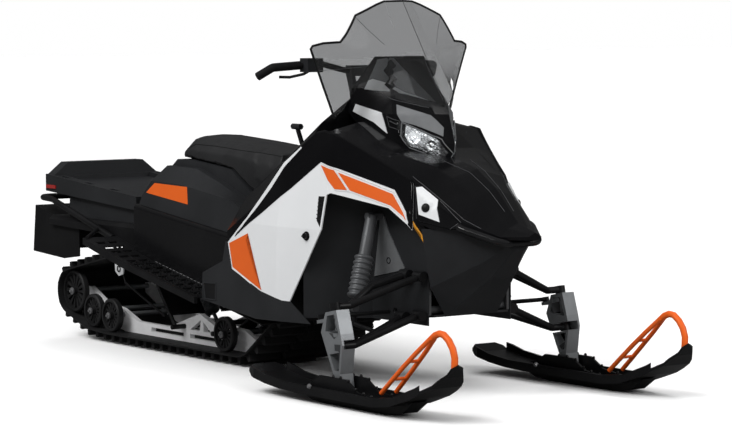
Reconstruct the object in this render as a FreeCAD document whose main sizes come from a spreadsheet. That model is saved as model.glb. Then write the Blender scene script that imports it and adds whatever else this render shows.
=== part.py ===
import FreeCAD, Part
import Sketcher
import math
import os
import re

from FreeCAD import Placement, Rotation, Vector

# Utility snowmobile, +X forward, +Y to the rider's left, +Z up, origin on the ground below the middle.
# Every size is a named cell of the sheet. Sub-parts are bound to the cells by expressions.

doc = FreeCAD.newDocument("Snowmobile")
sheet = doc.addObject("Spreadsheet::Sheet", "Sizes")

SIZES = {
    # overall places
    "nose_x": 1674,
    "tail_x": -1674,
    "stance_half": 515,
    "cut_over": 60,
    # track
    "track_width": 508,
    "belt_thickness": 6,
    "lug_height": 40,
    "edge_lug_height": 28,
    "lug_pitch": 64,
    "lug_root": 30,
    "lug_tip": 14,
    "lug_middle_width": 190,
    "lug_edge_gap": 16,
    # wheels inside the track
    "bogie_radius": 70.5,
    "idler_radius": 90,
    "carrier_radius": 68,
    "sprocket_radius": 84,
    "rail_nose_radius": 150,
    "idler_x": -1376,
    "idler_z": 196,
    "lift_wheel_x": -1224,
    "lift_wheel_rise": 8,
    "rear_wheel_x": -1077,
    "front_wheel_x": -212,
    "carrier_x": -800,
    "carrier_z": 345,
    "sprocket_x": 205,
    "sprocket_z": 330,
    "rail_nose_x": -90,
    "wheel_width": 28,
    "wheel_outer_y": 236,
    "carrier_y": 110,
    "sprocket_width": 34,
    "sprocket_y": 90,
    "hub_radius": 17,
    "hub_proud": 6,
    "rim_depth": 13,
    "wheel_web": 8,
    "window_slope": 0.12,
    "belt_gap": 0.3,
    "axle_radius": 10,
    # slide rails
    "rail_y": 150,
    "rail_width": 22,
    "rail_overhang": 24,
    "rail_front_x": 40,
    "rail_rise": 167,
    "slider_gap": 1,
    # tunnel and running boards
    "tunnel_half": 275,
    "tunnel_wall": 3,
    "tunnel_top_z": 515,
    "tunnel_rear_x": -1500,
    "tunnel_front_x": 340,
    "tunnel_rear_low_z": 478,
    "tunnel_corner": 16,
    "board_outer_y": 437,
    "board_front_x": 300,
    "board_front_z": 214,
    "board_knee_x": -640,
    "board_knee_z": 388,
    "board_rear_x": -940,
    "board_rear_z": 460,
    "board_plate": 5,
    "board_inner_y": 390,
    "board_edge_width": 15,
    "board_edge_depth": 26,
    "board_slot_length": 26,
    "board_slot_width": 44,
    "board_slot_pitch": 60,
    "board_slot_start_x": -880,
    "board_slot_inset": 10,
    # tunnel covers
    "cover_thickness": 26,
    "cover_rear_x": -760,
    "cover_front_x": 30,
    "cover_rear_z": 604,
    "cover_front_z": 516,
    "cover_roll": 18,
    # rear bumper and braces
    "bumper_radius": 13,
    "bumper_front_x": -950,
    "bumper_front_z": 452,
    "bumper_mid_x": -1450,
    "bumper_mid_z": 586,
    "bumper_rear_x": -1604,
    "bumper_corner_y": 258,
    "bumper_bend": 60,
    "brace_radius": 8,
    "brace_foot_x": -925,
    "brace_foot_y": 425,
    "brace_head_x": -1066,
    # cargo deck
    "deck_half": 262,
    "deck_foot_half": 240,
    "deck_foot_rear_x": -1385,
    "deck_rear_x": -1550,
    "deck_front_x": -806,
    "deck_rear_low_z": 616,
    "deck_rear_top_z": 688,
    "deck_front_low_z": 572,
    "deck_front_top_z": 628,
    "deck_depth": 18,
    "deck_slot_length": 60,
    "deck_slot_width": 20,
    "deck_slot_pitch": 205,
    "deck_rim": 50,
    "deck_edge": 10,
    "deck_wall_top_z": 738,
    "deck_wall_half": 186,
    "deck_wall_depth": 62,
    # tail lamps
    "lamp_length": 78,
    "lamp_height": 15,
    "lamp_depth": 5,
    "lamp_z": 628,
    "stop_lamp_half": 60,
    "stop_lamp_height": 26,
    # snow flap
    "flap_wall": 5,
    "flap_front_x": -1281,
    "flap_front_z": 351,
    "flap_low_x": -1408,
    "flap_low_z": 334,
    "flap_rear_z": 349,
    "flap_top_z": 549,
    "flap_step_z": 511.7,
    "flap_front_top_z": 500,
    "flap_lean": 22,
    # tow hitch
    "hitch_half": 42,
    "hitch_thickness": 12,
    "hitch_z": 553,
    "hitch_seat": 100,
    "hitch_tail_inset": 4,
    "hitch_bore_radius": 8,
    "hitch_bore_inset": 24,
    # engine
    "engine_rear_x": 560,
    "engine_length": 330,
    "engine_half": 165,
    "engine_low_z": 345,
    "engine_height": 330,
    # bulkhead
    "plate_y": 184,
    "plate_thickness": 12,
    "plate_front_x": 1070,
    "plate_low_z": 262,
    "plate_top_z": 668,
    "plate_rail_z": 420,
    "plate_hole_x": 841,
    "plate_hole_z": 481,
    "cross_radius": 15,
    "plate_hole_radius": 16,
    # belly pan
    "belly_rear_x": 340.3,
    "belly_mid_x": 1082,
    "belly_keel_x": 1265,
    "belly_front_x": 1352,
    "belly_rear_z": 236,
    "belly_mid_z": 300,
    "belly_keel_z": 440,
    "belly_front_z": 540,
    "belly_plate": 8,
    "belly_half": 168,
    "belly_chine": 100,
    "belly_top_z": 612,
    # side skins: half widths of the bodywork at five stations and three heights
    "skin_low_z": 230,
    "skin_mid_z": 590,
    "skin_top_z": 980,
    "skin_wall": 5,
    "skin_tail_x": -110,
    "skin_knee_x": 430,
    "skin_chest_x": 700,
    "skin_brow_x": 1015,
    "skin_snout_x": 1230,
    "skin_tail_low": 405,
    "skin_tail_mid": 388,
    "skin_tail_top": 330,
    "skin_knee_low": 415,
    "skin_knee_mid": 405,
    "skin_knee_top": 343,
    "skin_chest_low": 400,
    "skin_chest_mid": 385,
    "skin_chest_top": 330,
    "skin_brow_low": 330,
    "skin_brow_mid": 262,
    "skin_brow_top": 160,
    "skin_snout_low": 240,
    "skin_snout_mid": 165,
    "skin_snout_top": 60,
    # side panel outline
    "panel_rear_x": 87,
    "panel_front_x": 1048,
    "panel_low_z": 318,
    "panel_top_z": 950,
    # footwell
    "footwell_rear_x": -92,
    "footwell_rear_z": 380,
    "footwell_lip_x": 69,
    "footwell_lip_z": 510,
    "footwell_step": 18,
    "footwell_front_x": 640,
    # arch liner
    "liner_rear_x": 585,
    "liner_bend_x": 735,
    "liner_front_x": 1075,
    "liner_rear_y": 392,
    "liner_wall": 4,
    "liner_low_z": 262,
    "liner_top_z": 716,
    "liner_slope_run": 165,
    "liner_front_top_z": 560,
    # console
    "console_rear_x": 72.3,
    "console_low_z": 516.5,
    "console_front_x": 554,
    "console_top_z": 1066,
    "console_mid": 210,
    "console_waist": 168,
    "console_ridge_half": 150,
    "console_step": 14,
    # seat
    "seat_rear_x": -640,
    "seat_front_x": 72,
    "seat_rear_z": 870,
    "seat_crown_z": 884,
    "seat_front_z": 838,
    "seat_half": 168,
    "seat_crown": 46,
    "seat_gap": 0.3,
    "seat_side": 52,
    "seat_rise_x": -560,
    "seat_dip_x": -250,
    "seat_dip_z": 762,
    "seat_drop_x": -115,
    "seat_drop_z": 684,
    "seat_front_low_z": 640,
    "base_rear_x": -742,
    "base_half": 165,
    "fairing_outer_y": 286,
    "fairing_lean": 14,
    "fairing_ledge_y": 195,
    "fairing_top_z": 760,
    # hood
    "hood_rear_x": 660,
    "hood_lamp_x": 850,
    "hood_brow_x": 1008,
    "hood_cheek_x": 1221,
    "hood_front_x": 1350,
    "hood_tip_x": 1446,
    "hood_shell": 30,
    "hood_half": 222,
    "hood_rear_z": 944,
    "hood_fall": 162,
    "hood_crown": 30,
    # nose plates
    "nose_plate_rear_x": 1022,
    "nose_plate_top_z": 764,
    # lamp pod
    "pod_low_z": 800,
    "pod_lamp_z": 905,
    "pod_brow_z": 1010,
    "pod_shelf_z": 1100,
    "pod_top_z": 1216,
    "pod_front_x": 985,
    "pod_half_width": 200,
    # headlamps
    "lens_depth": 6,
    # windshield
    "glass_thickness": 5,
    "glass_low_z": 940,
    "glass_high_z": 1434,
    "glass_top_z": 1422,
    "glass_ear_y": 362,
    "glass_low_x": 1005,
    "glass_high_x": 660,
    "glass_low_fold": 52,
    "glass_high_fold": 35,
    "glass_edge_x": 600,
    "glass_edge_drift": 10,
    "glass_crease_y": 110,
    # front bumper
    "nose_tube_radius": 14,
    "nose_tube_rear_x": 1160,
    "nose_tube_rear_y": 140,
    "nose_tube_rear_z": 640,
    "nose_tube_mid_x": 1226,
    "nose_tube_mid_y": 160,
    "nose_tube_mid_z": 617,
    "nose_tube_front_x": 1369,
    "nose_tube_front_z": 570,
    "nose_tube_half": 80,
    "nose_tube_bend": 55,
    # shift lever
    "lever_x": 215,
    "lever_y": 120,
    "lever_radius": 9,
    "lever_lean": 45,
    "lever_base_z": 880,
    "lever_top_z": 946,
    "knob_half": 27,
    "knob_radius": 11,
    # front suspension
    "kingpin_rake": 12,
    "kingpin_x": 990,
    "kingpin_z": 205,
    "king_stud_radius": 9,
    "arm_tube": 13,
    "arm_eye_radius": 19,
    "arm_eye_height": 28,
    "arm_bush_half": 24,
    "arm_bend": 30,
    "stub_length": 63,
    "upper_arm_front_x": 1050,
    "upper_arm_rear_x": 965,
    "upper_arm_knee_x": 925,
    "upper_arm_knee_y": 330,
    "upper_arm_knee_z": 402,
    "upper_arm_in_z": 440,
    "lower_arm_front_x": 1046,
    "lower_arm_rear_x": 945,
    "lower_arm_in_z": 300,
    # ski shocks
    "shock_top_x": 792,
    "shock_top_y": 232,
    "shock_top_z": 640,
    "shock_low_x": 848,
    "shock_low_y": 350,
    "shock_low_z": 318,
    "shock_eye_radius": 15,
    "perch_x": 960,
    "perch_z": 246,
    "shock_can": 22,
    "shock_rod": 8,
    "spring_radius": 36,
    "spring_wire": 4.5,
    # tie rods
    "steer_arm": 92,
    "steer_arm_w": 106,
    "steer_arm_thickness": 12,
    "tie_rod_radius": 8,
    "tie_rod_inner_y": 215,
    "tie_end_radius": 13,
    "tie_gap": 0.3,
    "tie_clearance": 6,
    "tie_end_height": 18,
    # spindle
    "spindle_width": 56,
    "spindle_top_w": 125,
    "spindle_low_w": 112,
    "spindle_front_u": 54,
    "spindle_rear_u": 66,
    "notch_half": 16,
    "spindle_wall": 9,
    # skis
    "ski_width": 178,
    "ski_channel_half": 48,
    "ski_channel_wall": 10,
    "ski_sole": 12,
    "ski_keel_half": 34,
    "ski_edge_z": 30,
    "ski_tail_x": 506,
    "ski_tip_z": 196,
    "ski_pivot_radius": 9,
    "ski_pin_w": 135,
    # ski loops
    "loop_radius": 9,
    "loop_base_x": 1290,
    "loop_base_z": 42,
    "loop_back_x": 1534,
    "loop_back_z": 285,
    "loop_top_x": 1590,
    "loop_top_z": 303,
    "loop_front_x": 1660,
    "loop_front_z": 224,
    "loop_foot_x": 1632,
    "loop_foot_z": 155,
    "loop_spread": 30,
    "loop_bend": 24,
    # handlebar and post
    "post_rake": 11,
    "post_x": 360,
    "post_z": 1051,
    "post_bar_x": 386,
    "bar_z": 1162,
    "post_radius": 15,
    "post_bore_gap": 0.4,
    "post_depth": 200,
    "riser_drop": 96,
    "riser_half_top": 46,
    "riser_half_low": 24,
    "riser_depth": 36,
    "bar_radius": 11.2,
    "bar_shoulder_y": 64,
    "bar_rise_y": 178,
    "bar_rise": 26,
    "bar_sweep": 18,
    "grip_start_y": 262,
    "grip_end_y": 372,
    "grip_radius": 16,
    "hook_y": 404,
    "hook_drop": 34,
    "hook_sweep": 52,
    "grip_bend": 30,
    "control_inner_y": 186,
    "control_outer_y": 256,
    "control_half": 26,
    # rear suspension
    "arm_pivot_front_x": 20,
    "arm_pivot_front_z": 300,
    "arm_foot_front_x": -300,
    "arm_foot_rear_x": -600,
    "arm_foot_z": 110,
    "skid_tube": 16,
    "web_thickness": 8,
    "skid_leg_y": 112,
    "skid_rear_leg_y": 205,
    "skid_shock_radius": 20,
    "skid_spring_radius": 34,
}

for row, (alias, value) in enumerate(SIZES.items(), start=1):
    sheet.set(f"A{row}", alias)
    sheet.set(f"B{row}", str(value))
    sheet.setAlias(f"B{row}", alias)
doc.recompute()

PLANES = {"top": "XY_Plane", "side": "XZ_Plane", "front": "YZ_Plane"}
WORD = re.compile(r"[a-z]+_[a-z_]+")


def bound(text):
    """An expression on the sheet's cells, from one written in their names."""
    return WORD.sub(lambda word: "Sizes." + word.group(0), str(text))


def size(text):
    """The present value of an expression."""
    return float(sheet.evalExpression(bound(text)))


def at(x, y, z):
    return Vector(size(x), size(y), size(z))


def spread(shares, start, end):
    """Points given as shares of the box from start to end, as pairs of expressions."""
    points = []
    for across, up in shares:
        u = f"{start[0]} + ({end[0]} - ({start[0]})) * {across}"
        v = f"{start[1]} + ({end[1]} - ({start[1]})) * {up}"
        points.append((u, v))
    return points


# Body and sketch tools


def new_body(label):
    body = doc.addObject("PartDesign::Body", label)
    body.Label = label
    return body


def plane_of(body, plane):
    return next(item for item in body.Origin.OriginFeatures if item.Role == PLANES[plane])


def new_sketch(body, plane, level="0"):
    """A sketch on one of the body's planes, moved along the plane's normal by the level."""
    sketch = body.newObject("Sketcher::SketchObject", body.Name + "_sketch")
    sketch.AttachmentSupport = [(plane_of(body, plane), "")]
    sketch.MapMode = "FlatFace"
    sketch.setExpression("AttachmentOffset.Base.z", bound(level))
    return sketch


def add_polygon(sketch, points):
    """A closed outline whose corners are bound to the sheet."""
    corners = [Vector(size(u), size(v), 0) for u, v in points]
    count = len(corners)
    lines = []
    for index, corner in enumerate(corners):
        line = Part.LineSegment(corner, corners[(index + 1) % count])
        lines.append(sketch.addGeometry(line, False))
    for index, line in enumerate(lines):
        sketch.addConstraint(Sketcher.Constraint("Coincident", line, 2, lines[(index + 1) % count], 1))
    for line, corner, (u, v) in zip(lines, corners, points):
        bind_point(sketch, line, 1, corner, u, v)


def bind_point(sketch, geometry, end, point, u, v):
    for kind, value, text in (("DistanceX", point.x, u), ("DistanceY", point.y, v)):
        index = sketch.addConstraint(Sketcher.Constraint(kind, -1, 1, geometry, end, value))
        name = f"{kind}_{geometry}"
        sketch.renameConstraint(index, name)
        sketch.setExpression(f"Constraints.{name}", bound(text))


def add_circle(sketch, u, v, radius):
    centre = Vector(size(u), size(v), 0)
    circle = sketch.addGeometry(Part.Circle(centre, Vector(0, 0, 1), size(radius)), False)
    bind_point(sketch, circle, 3, centre, u, v)
    index = sketch.addConstraint(Sketcher.Constraint("Radius", circle, size(radius)))
    sketch.renameConstraint(index, f"Radius_{circle}")
    sketch.setExpression(f"Constraints.Radius_{circle}", bound(radius))


def outline(body, plane, points, level="0"):
    sketch = new_sketch(body, plane, level)
    add_polygon(sketch, points)
    return sketch


def extrude(body, kind, sketch, length, side):
    """A pad or pocket. side is both, along or against the sketch plane's normal."""
    feature = body.newObject("PartDesign::" + kind, f"{body.Name}_{kind.lower()}")
    feature.Profile = sketch
    feature.setExpression("Length", bound(length))
    if side == "both":
        feature.SideType = "Symmetric"
    else:
        feature.Reversed = (side == "against") == (kind == "Pad")
    sketch.Visibility = False
    return feature


def pad(body, sketch, length, side="both"):
    return extrude(body, "Pad", sketch, length, side)


def pocket(body, sketch, length, side="both"):
    return extrude(body, "Pocket", sketch, length, side)


def loft(body, sketches):
    feature = body.newObject("PartDesign::AdditiveLoft", body.Name + "_loft")
    feature.Profile = sketches[0]
    feature.Sections = sketches[1:]
    feature.Ruled = True
    return feature


def trim(body, plane, points, reach="nose_x * 2"):
    """Cuts away all that lies outside an outline."""
    sketch = new_sketch(body, plane)
    add_polygon(sketch, [(f"-{reach}", f"-{reach}"), (reach, f"-{reach}"), (reach, reach),
                         (f"-{reach}", reach)])
    add_polygon_after(sketch, points)
    return pocket(body, sketch, reach)


def add_polygon_after(sketch, points):
    """A second outline in a sketch, its constraints named on from the first."""
    add_polygon(sketch, points)


def repeat(body, feature, plane_axis, spacing, count):
    pattern = body.newObject("PartDesign::LinearPattern", body.Name + "_row")
    pattern.Originals = [feature]
    axis = next(item for item in body.Origin.OriginFeatures if item.Role == plane_axis)
    pattern.Direction = (axis, [""])
    pattern.Mode = "Spacing"
    pattern.setExpression("Offset", bound(spacing))
    pattern.Occurrences = count
    body.Tip = pattern
    return pattern


def polar(body, feature, plane_axis, count):
    pattern = body.newObject("PartDesign::PolarPattern", body.Name + "_ring")
    pattern.Originals = [feature]
    axis = next(item for item in body.Origin.OriginFeatures if item.Role == plane_axis)
    pattern.Axis = (axis, [""])
    pattern.Angle = 360
    pattern.Occurrences = count
    body.Tip = pattern
    return pattern


def round_edges(body, radius, wanted):
    """Rounds the edges of the body's last solid whose middle passes the test."""
    doc.recompute()
    base = body.Tip
    names = []
    for index, edge in enumerate(base.Shape.Edges, start=1):
        if wanted(edge, edge.CenterOfMass):
            names.append(f"Edge{index}")
    fillet = body.newObject("PartDesign::Fillet", body.Name + "_round")
    fillet.Base = (base, names)
    fillet.setExpression("Radius", bound(radius))
    body.Tip = fillet
    return fillet


# Plain solids


def box(label, low, high):
    item = doc.addObject("Part::Box", label)
    item.Label = label
    for name, start, end in zip(("Length", "Width", "Height"), low, high):
        item.setExpression(name, bound(f"{end} - ({start})"))
    for name, start in zip("xyz", low):
        item.setExpression(f"Placement.Base.{name}", bound(start))
    return item


def rod(label, radius, start, end):
    """A round bar between two points."""
    first = at(*start)
    last = at(*end)
    item = doc.addObject("Part::Cylinder", label)
    item.Label = label
    item.setExpression("Radius", bound(radius))
    item.Height = (last - first).Length
    item.Placement = Placement(first, Rotation(Vector(0, 0, 1), last - first))
    return item


def bent_path(points, bend):
    """Straight runs joined by tangent arcs."""
    edges = []
    start = points[0]
    for before, corner, after in zip(points, points[1:], points[2:]):
        back = (before - corner).normalize()
        ahead = (after - corner).normalize()
        half = back.getAngle(ahead) / 2
        reach = bend / math.tan(half)
        middle = corner + (back + ahead).normalize() * (bend / math.sin(half) - bend)
        first = corner + back * reach
        last = corner + ahead * reach
        edges.append(Part.LineSegment(start, first).toShape())
        edges.append(Part.Arc(first, middle, last).toShape())
        start = last
    edges.append(Part.LineSegment(start, points[-1]).toShape())
    return Part.Wire(edges)


def tube_shape(route, radius, bend):
    points = [at(*place) for place in route]
    path = bent_path(points, size(bend))
    ring = Part.Circle(points[0], points[1] - points[0], size(radius)).toShape()
    return path.makePipeShell([Part.Wire([ring])], True, False)


def shaped(label, shape, placement=Placement()):
    item = doc.addObject("Part::Feature", label)
    item.Label = label
    item.Shape = shape
    item.Placement = placement
    return item


def tube(label, route, radius, bend):
    return shaped(label, tube_shape(route, radius, bend))


def fused(label, items):
    item = doc.addObject("Part::MultiFuse", label)
    item.Label = label
    item.Shapes = items
    item.Refine = True
    return item


def cut(label, base, tool):
    item = doc.addObject("Part::Cut", label)
    item.Label = label
    item.Base = base
    item.Tool = tool
    return item


def mirrored(label, source):
    item = doc.addObject("Part::Mirroring", label)
    item.Label = label
    item.Source = source
    item.Normal = (0, 1, 0)
    return item


def together(label, items):
    item = doc.addObject("Part::Compound", label)
    item.Label = label
    item.Links = items
    return item


def pair(label, source):
    """One sub-part with its twin on the other side."""
    return together(label, [source, mirrored(label + "_twin", source)])


def linked(source, name, x, y, z):
    link = doc.addObject("App::Link", name)
    link.LinkedObject = source
    link.Placement = Placement(at(x, y, z), Rotation())
    return link


def flipped(route):
    """A route carried on across the middle plane."""
    return route + [(x, f"-({y})", z) for x, y, z in reversed(route)]


def between(first, last, share):
    return f"({first} + ({last} - ({first})) * ({share}))"


def part_way(value, first, last):
    return f"({value} - ({first})) / ({last} - ({first}))"


# Wheels inside the track and the belt that wraps them

WHEELS = [
    ("idler_x", "idler_z", "idler_radius"),
    ("lift_wheel_x", "bogie_radius + lug_height + belt_thickness + lift_wheel_rise", "bogie_radius"),
    ("rear_wheel_x", "bogie_radius + lug_height + belt_thickness", "bogie_radius"),
    ("front_wheel_x", "bogie_radius + lug_height + belt_thickness", "bogie_radius"),
    ("rail_nose_x", "rail_nose_radius + lug_height + belt_thickness", "rail_nose_radius"),
    ("sprocket_x", "sprocket_z", "sprocket_radius"),
    ("carrier_x", "carrier_z", "carrier_radius"),
]


def belt_runs(offset):
    """Lines and arcs of a closed loop round the wheels, that far outside them."""
    circles = [(at(x, "0", z), size(radius) + offset) for x, z, radius in WHEELS]
    touches = []
    for (centre, radius), (after, after_radius) in zip(circles, circles[1:] + circles[:1]):
        step = after - centre
        heading = math.atan2(step.z, step.x)
        turn = math.acos((radius - after_radius) / step.Length)
        normal = Vector(math.cos(heading - turn), 0, math.sin(heading - turn))
        touches.append((centre + normal * radius, after + normal * after_radius, normal))
    runs = []
    for index, (centre, radius) in enumerate(circles):
        entry, leave = touches[index - 1], touches[index]
        angle = entry[2].getAngle(leave[2])
        if angle > 0:
            runs.append(("arc", radius * angle, centre, radius, entry[2], angle))
        runs.append(("line", (leave[1] - leave[0]).Length, leave[0], leave[1]))
    return runs


def turned(normal, angle):
    return Rotation(Vector(0, -1, 0), math.degrees(angle)).multVec(normal)


def place_on(run, along):
    """A point of a run and the outward normal there."""
    if run[0] == "line":
        ahead = (run[3] - run[2]).normalize()
        return run[2] + ahead * along, Vector(ahead.z, 0, -ahead.x)
    normal = turned(run[4], along / run[3])
    return run[2] + normal * run[3], normal


def find_place(runs, along):
    along = along % sum(run[1] for run in runs)
    for run in runs:
        if along <= run[1]:
            return place_on(run, along)
        along -= run[1]
    return place_on(runs[-1], runs[-1][1])


def stretch(runs, start, end):
    """The loop's own edges between two distances along it."""
    edges = []
    total = sum(run[1] for run in runs)
    reached = 0
    for run in runs + runs:
        low, high = max(start, reached), min(end, reached + run[1])
        if high - low > total * 1e-6:
            first = place_on(run, low - reached)[0]
            last = place_on(run, high - reached)[0]
            middle = place_on(run, (low + high) / 2 - reached)[0]
            curve = Part.LineSegment(first, last) if run[0] == "line" else Part.Arc(first, middle, last)
            edges.append(curve.toShape())
        reached += run[1]
    return edges


def lug_ring(height, shift_share):
    """The belt's outer outline with one lug a pitch, shifted by a share of the pitch."""
    runs = belt_runs(size("belt_thickness"))
    total = sum(run[1] for run in runs)
    count = round(total / size("lug_pitch"))
    pitch = total / count
    root, tip = size("lug_root"), size("lug_tip")
    edges = []
    for index in range(count):
        start = (index + shift_share) * pitch
        middle, normal = find_place(runs, start + root / 2)
        first = find_place(runs, start)[0]
        last = find_place(runs, start + root)[0]
        ahead = Vector(-normal.z, 0, normal.x)
        top = middle + normal * height
        corners = [first, top - ahead * (tip / 2), top + ahead * (tip / 2), last]
        edges += [Part.LineSegment(a, b).toShape() for a, b in zip(corners, corners[1:])]
        edges += stretch(runs, start + root, start + pitch)
    return Part.Wire(edges)


def belt_slab(outer, low, high):
    """One width of the track, from low to high along Y, and its twin across the middle plane."""
    inner = Part.Wire(stretch(belt_runs(0), 0, sum(run[1] for run in belt_runs(0))))
    face = Part.Face([outer, inner])
    face.validate()
    face.translate(Vector(0, size(low), 0))
    return face.extrude(Vector(0, size(high) - size(low), 0))


def track():
    plain_runs = belt_runs(size("belt_thickness"))
    plain = Part.Wire(stretch(plain_runs, 0, sum(run[1] for run in plain_runs)))
    middle = belt_slab(lug_ring(size("lug_height"), 0), "-lug_middle_width / 2", "lug_middle_width / 2")
    side = belt_slab(lug_ring(size("edge_lug_height"), 1 / 2), "lug_middle_width / 2",
                     "track_width / 2 - lug_edge_gap")
    edge = belt_slab(plain, "track_width / 2 - lug_edge_gap", "track_width / 2")
    twins = [item.mirror(Vector(), Vector(0, 1, 0)) for item in (side, edge)]
    return shaped("track", middle.fuse([side, edge] + twins))


WHEEL_SPOKES = 14


def wheel(label, radius, width, rim):
    """A rubber-tyred wheel about the Y axis, with a spoked web and a hub bored for its axle."""
    body = new_body(label)
    half = f"{width} / 2"
    profile = [
        ("axle_radius", f"-({half}) - hub_proud"),
        ("hub_radius", f"-({half}) - hub_proud"),
        ("hub_radius", "-wheel_web / 2"),
        (f"{radius} - {rim}", "-wheel_web / 2"),
        (f"{radius} - {rim}", f"-({half})"),
        (f"{radius} - lug_edge_gap / 4", f"-({half})"),
        (radius, f"-({half}) + lug_edge_gap / 4"),
    ]
    profile = profile + [(u, f"-({v})") for u, v in reversed(profile)]
    revolve(body, outline(body, "top", profile), "V_Axis")
    inner, outer = "hub_radius + hub_proud", f"{radius} - {rim} - hub_proud / 2"
    window = [(f"-({inner}) * window_slope", inner), (f"({inner}) * window_slope", inner),
              (f"({outer}) * window_slope", outer), (f"-({outer}) * window_slope", outer)]
    polar(body, pocket(body, outline(body, "side", window), width), "Y_Axis", WHEEL_SPOKES)
    return body


def revolve(body, sketch, axis):
    feature = body.newObject("PartDesign::Revolution", body.Name + "_turned")
    feature.Profile = sketch
    feature.ReferenceAxis = (sketch, [axis])
    feature.Angle = 360
    sketch.Visibility = False
    return feature


def both_sides(places):
    return places + [(x, f"-({y})", z) for x, y, z in places]


def bogie_wheels():
    source = wheel("bogie_wheel_form", "bogie_radius - belt_gap", "wheel_width", "rim_depth")
    carrier = wheel("carrier_wheel_form", "carrier_radius - belt_gap", "wheel_width", "rim_depth")
    wheel_y = "wheel_outer_y - hub_proud - wheel_width / 2"
    low = "bogie_radius + lug_height + belt_thickness"
    places = both_sides([
        ("lift_wheel_x", wheel_y, f"{low} + lift_wheel_rise"),
        ("rear_wheel_x", wheel_y, low),
        ("front_wheel_x", wheel_y, low),
    ])
    upper = both_sides([("carrier_x", "carrier_y", "carrier_z")])
    links = [linked(source, "bogie_wheel", *place) for place in places]
    links += [linked(carrier, "carrier_wheel", *place) for place in upper]
    return together("bogie_wheels", links)


def idler_wheels():
    source = wheel("idler_wheel_form", "idler_radius - belt_gap", "wheel_width", "rim_depth")
    wheel_y = "wheel_outer_y - hub_proud - wheel_width / 2"
    places = both_sides([("idler_x", wheel_y, "idler_z")])
    return together("idler_wheels", [linked(source, "idler_wheel", *place) for place in places])


def drive_axle():
    """The toothed sprockets and the shaft between the tunnel's walls."""
    body = new_body("drive_axle")
    disc = new_sketch(body, "side", "-sprocket_y")
    add_circle(disc, "sprocket_x", "sprocket_z", "sprocket_radius - belt_gap")
    pad(body, disc, "sprocket_width")
    twin = new_sketch(body, "side", "sprocket_y")
    add_circle(twin, "sprocket_x", "sprocket_z", "sprocket_radius - belt_gap")
    pad(body, twin, "sprocket_width")
    shaft = new_sketch(body, "side")
    add_circle(shaft, "sprocket_x", "sprocket_z", "hub_radius")
    pad(body, shaft, "(tunnel_half - tunnel_wall) * 2")
    return body


def wheel_axles():
    """Axles through the wheels' hubs and the slide rails."""
    low = "bogie_radius + lug_height + belt_thickness"
    reach = "wheel_outer_y + hub_proud / 2"
    places = [
        ("idler_x", "idler_z"),
        ("lift_wheel_x", f"{low} + lift_wheel_rise"),
        ("rear_wheel_x", low),
        ("front_wheel_x", low),
    ]
    axles = [rod("wheel_axle", "axle_radius", (x, f"-({reach})", z), (x, reach, z)) for x, z in places]
    wall = "tunnel_half - tunnel_wall"
    axles.append(rod("carrier_axle", "axle_radius", ("carrier_x", f"-({wall})", "carrier_z"),
                     ("carrier_x", wall, "carrier_z")))
    return together("wheel_axles", axles)


RAIL_SHARES = [
    (0.001, 0.713), (0, 0.976), (0.033, 1), (0.115, 0.677), (0.215, 0.557), (0.3, 0.299),
    (0.472, 0.299), (0.634, 0.737), (0.714, 0.485), (0.799, 0.533), (0.861, 0.521),
    (0.931, 0.269), (0.963, 0.341), (0.981, 0.521), (0.996, 0.425), (0.976, 0.21),
    (0.944, 0.054), (0.91, 0), (0.232, 0), (0.174, 0.09), (0.118, 0.257),
]


def slide_rails():
    """The two runners that press the belt down, each with windows and bores for the axles."""
    body = new_body("slide_rail_form")
    base = ("idler_x - rail_overhang", "lug_height + belt_thickness + slider_gap")
    front = ("rail_front_x", "lug_height + belt_thickness + slider_gap + rail_rise")
    pad(body, outline(body, "side", spread(RAIL_SHARES, base, front), "-rail_y"), "rail_width")
    holes = new_sketch(body, "side", "-rail_y")
    low = "bogie_radius + lug_height + belt_thickness"
    for x, z in (("idler_x", "idler_z"), ("lift_wheel_x", f"{low} + lift_wheel_rise"),
                 ("rear_wheel_x", low), ("front_wheel_x", low)):
        add_circle(holes, x, z, "axle_radius + belt_gap / 2")
    for x in ("arm_foot_front_x", "arm_foot_rear_x"):
        add_circle(holes, x, "arm_foot_z", "axle_radius + belt_gap / 2")
    pocket(body, holes, "rail_width * 2")
    for shares in RAIL_WINDOW_SHARES:
        pocket(body, outline(body, "side", spread(shares, base, front), "-rail_y"), "rail_width * 2")
    return pair("slide_rails", body)


RAIL_WINDOW_SHARES = [
    [
    (0.583, 0.317), (0.632, 0.317), (0.639, 0.587),
],
    [
    (0.653, 0.317), (0.694, 0.317), (0.651, 0.545),
],
    [
    (0.375, 0.102), (0.549, 0.102), (0.549, 0.21), (0.375, 0.21),
],
    [
    (0.583, 0.102), (0.743, 0.102), (0.743, 0.21), (0.583, 0.21),
],
]


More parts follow.
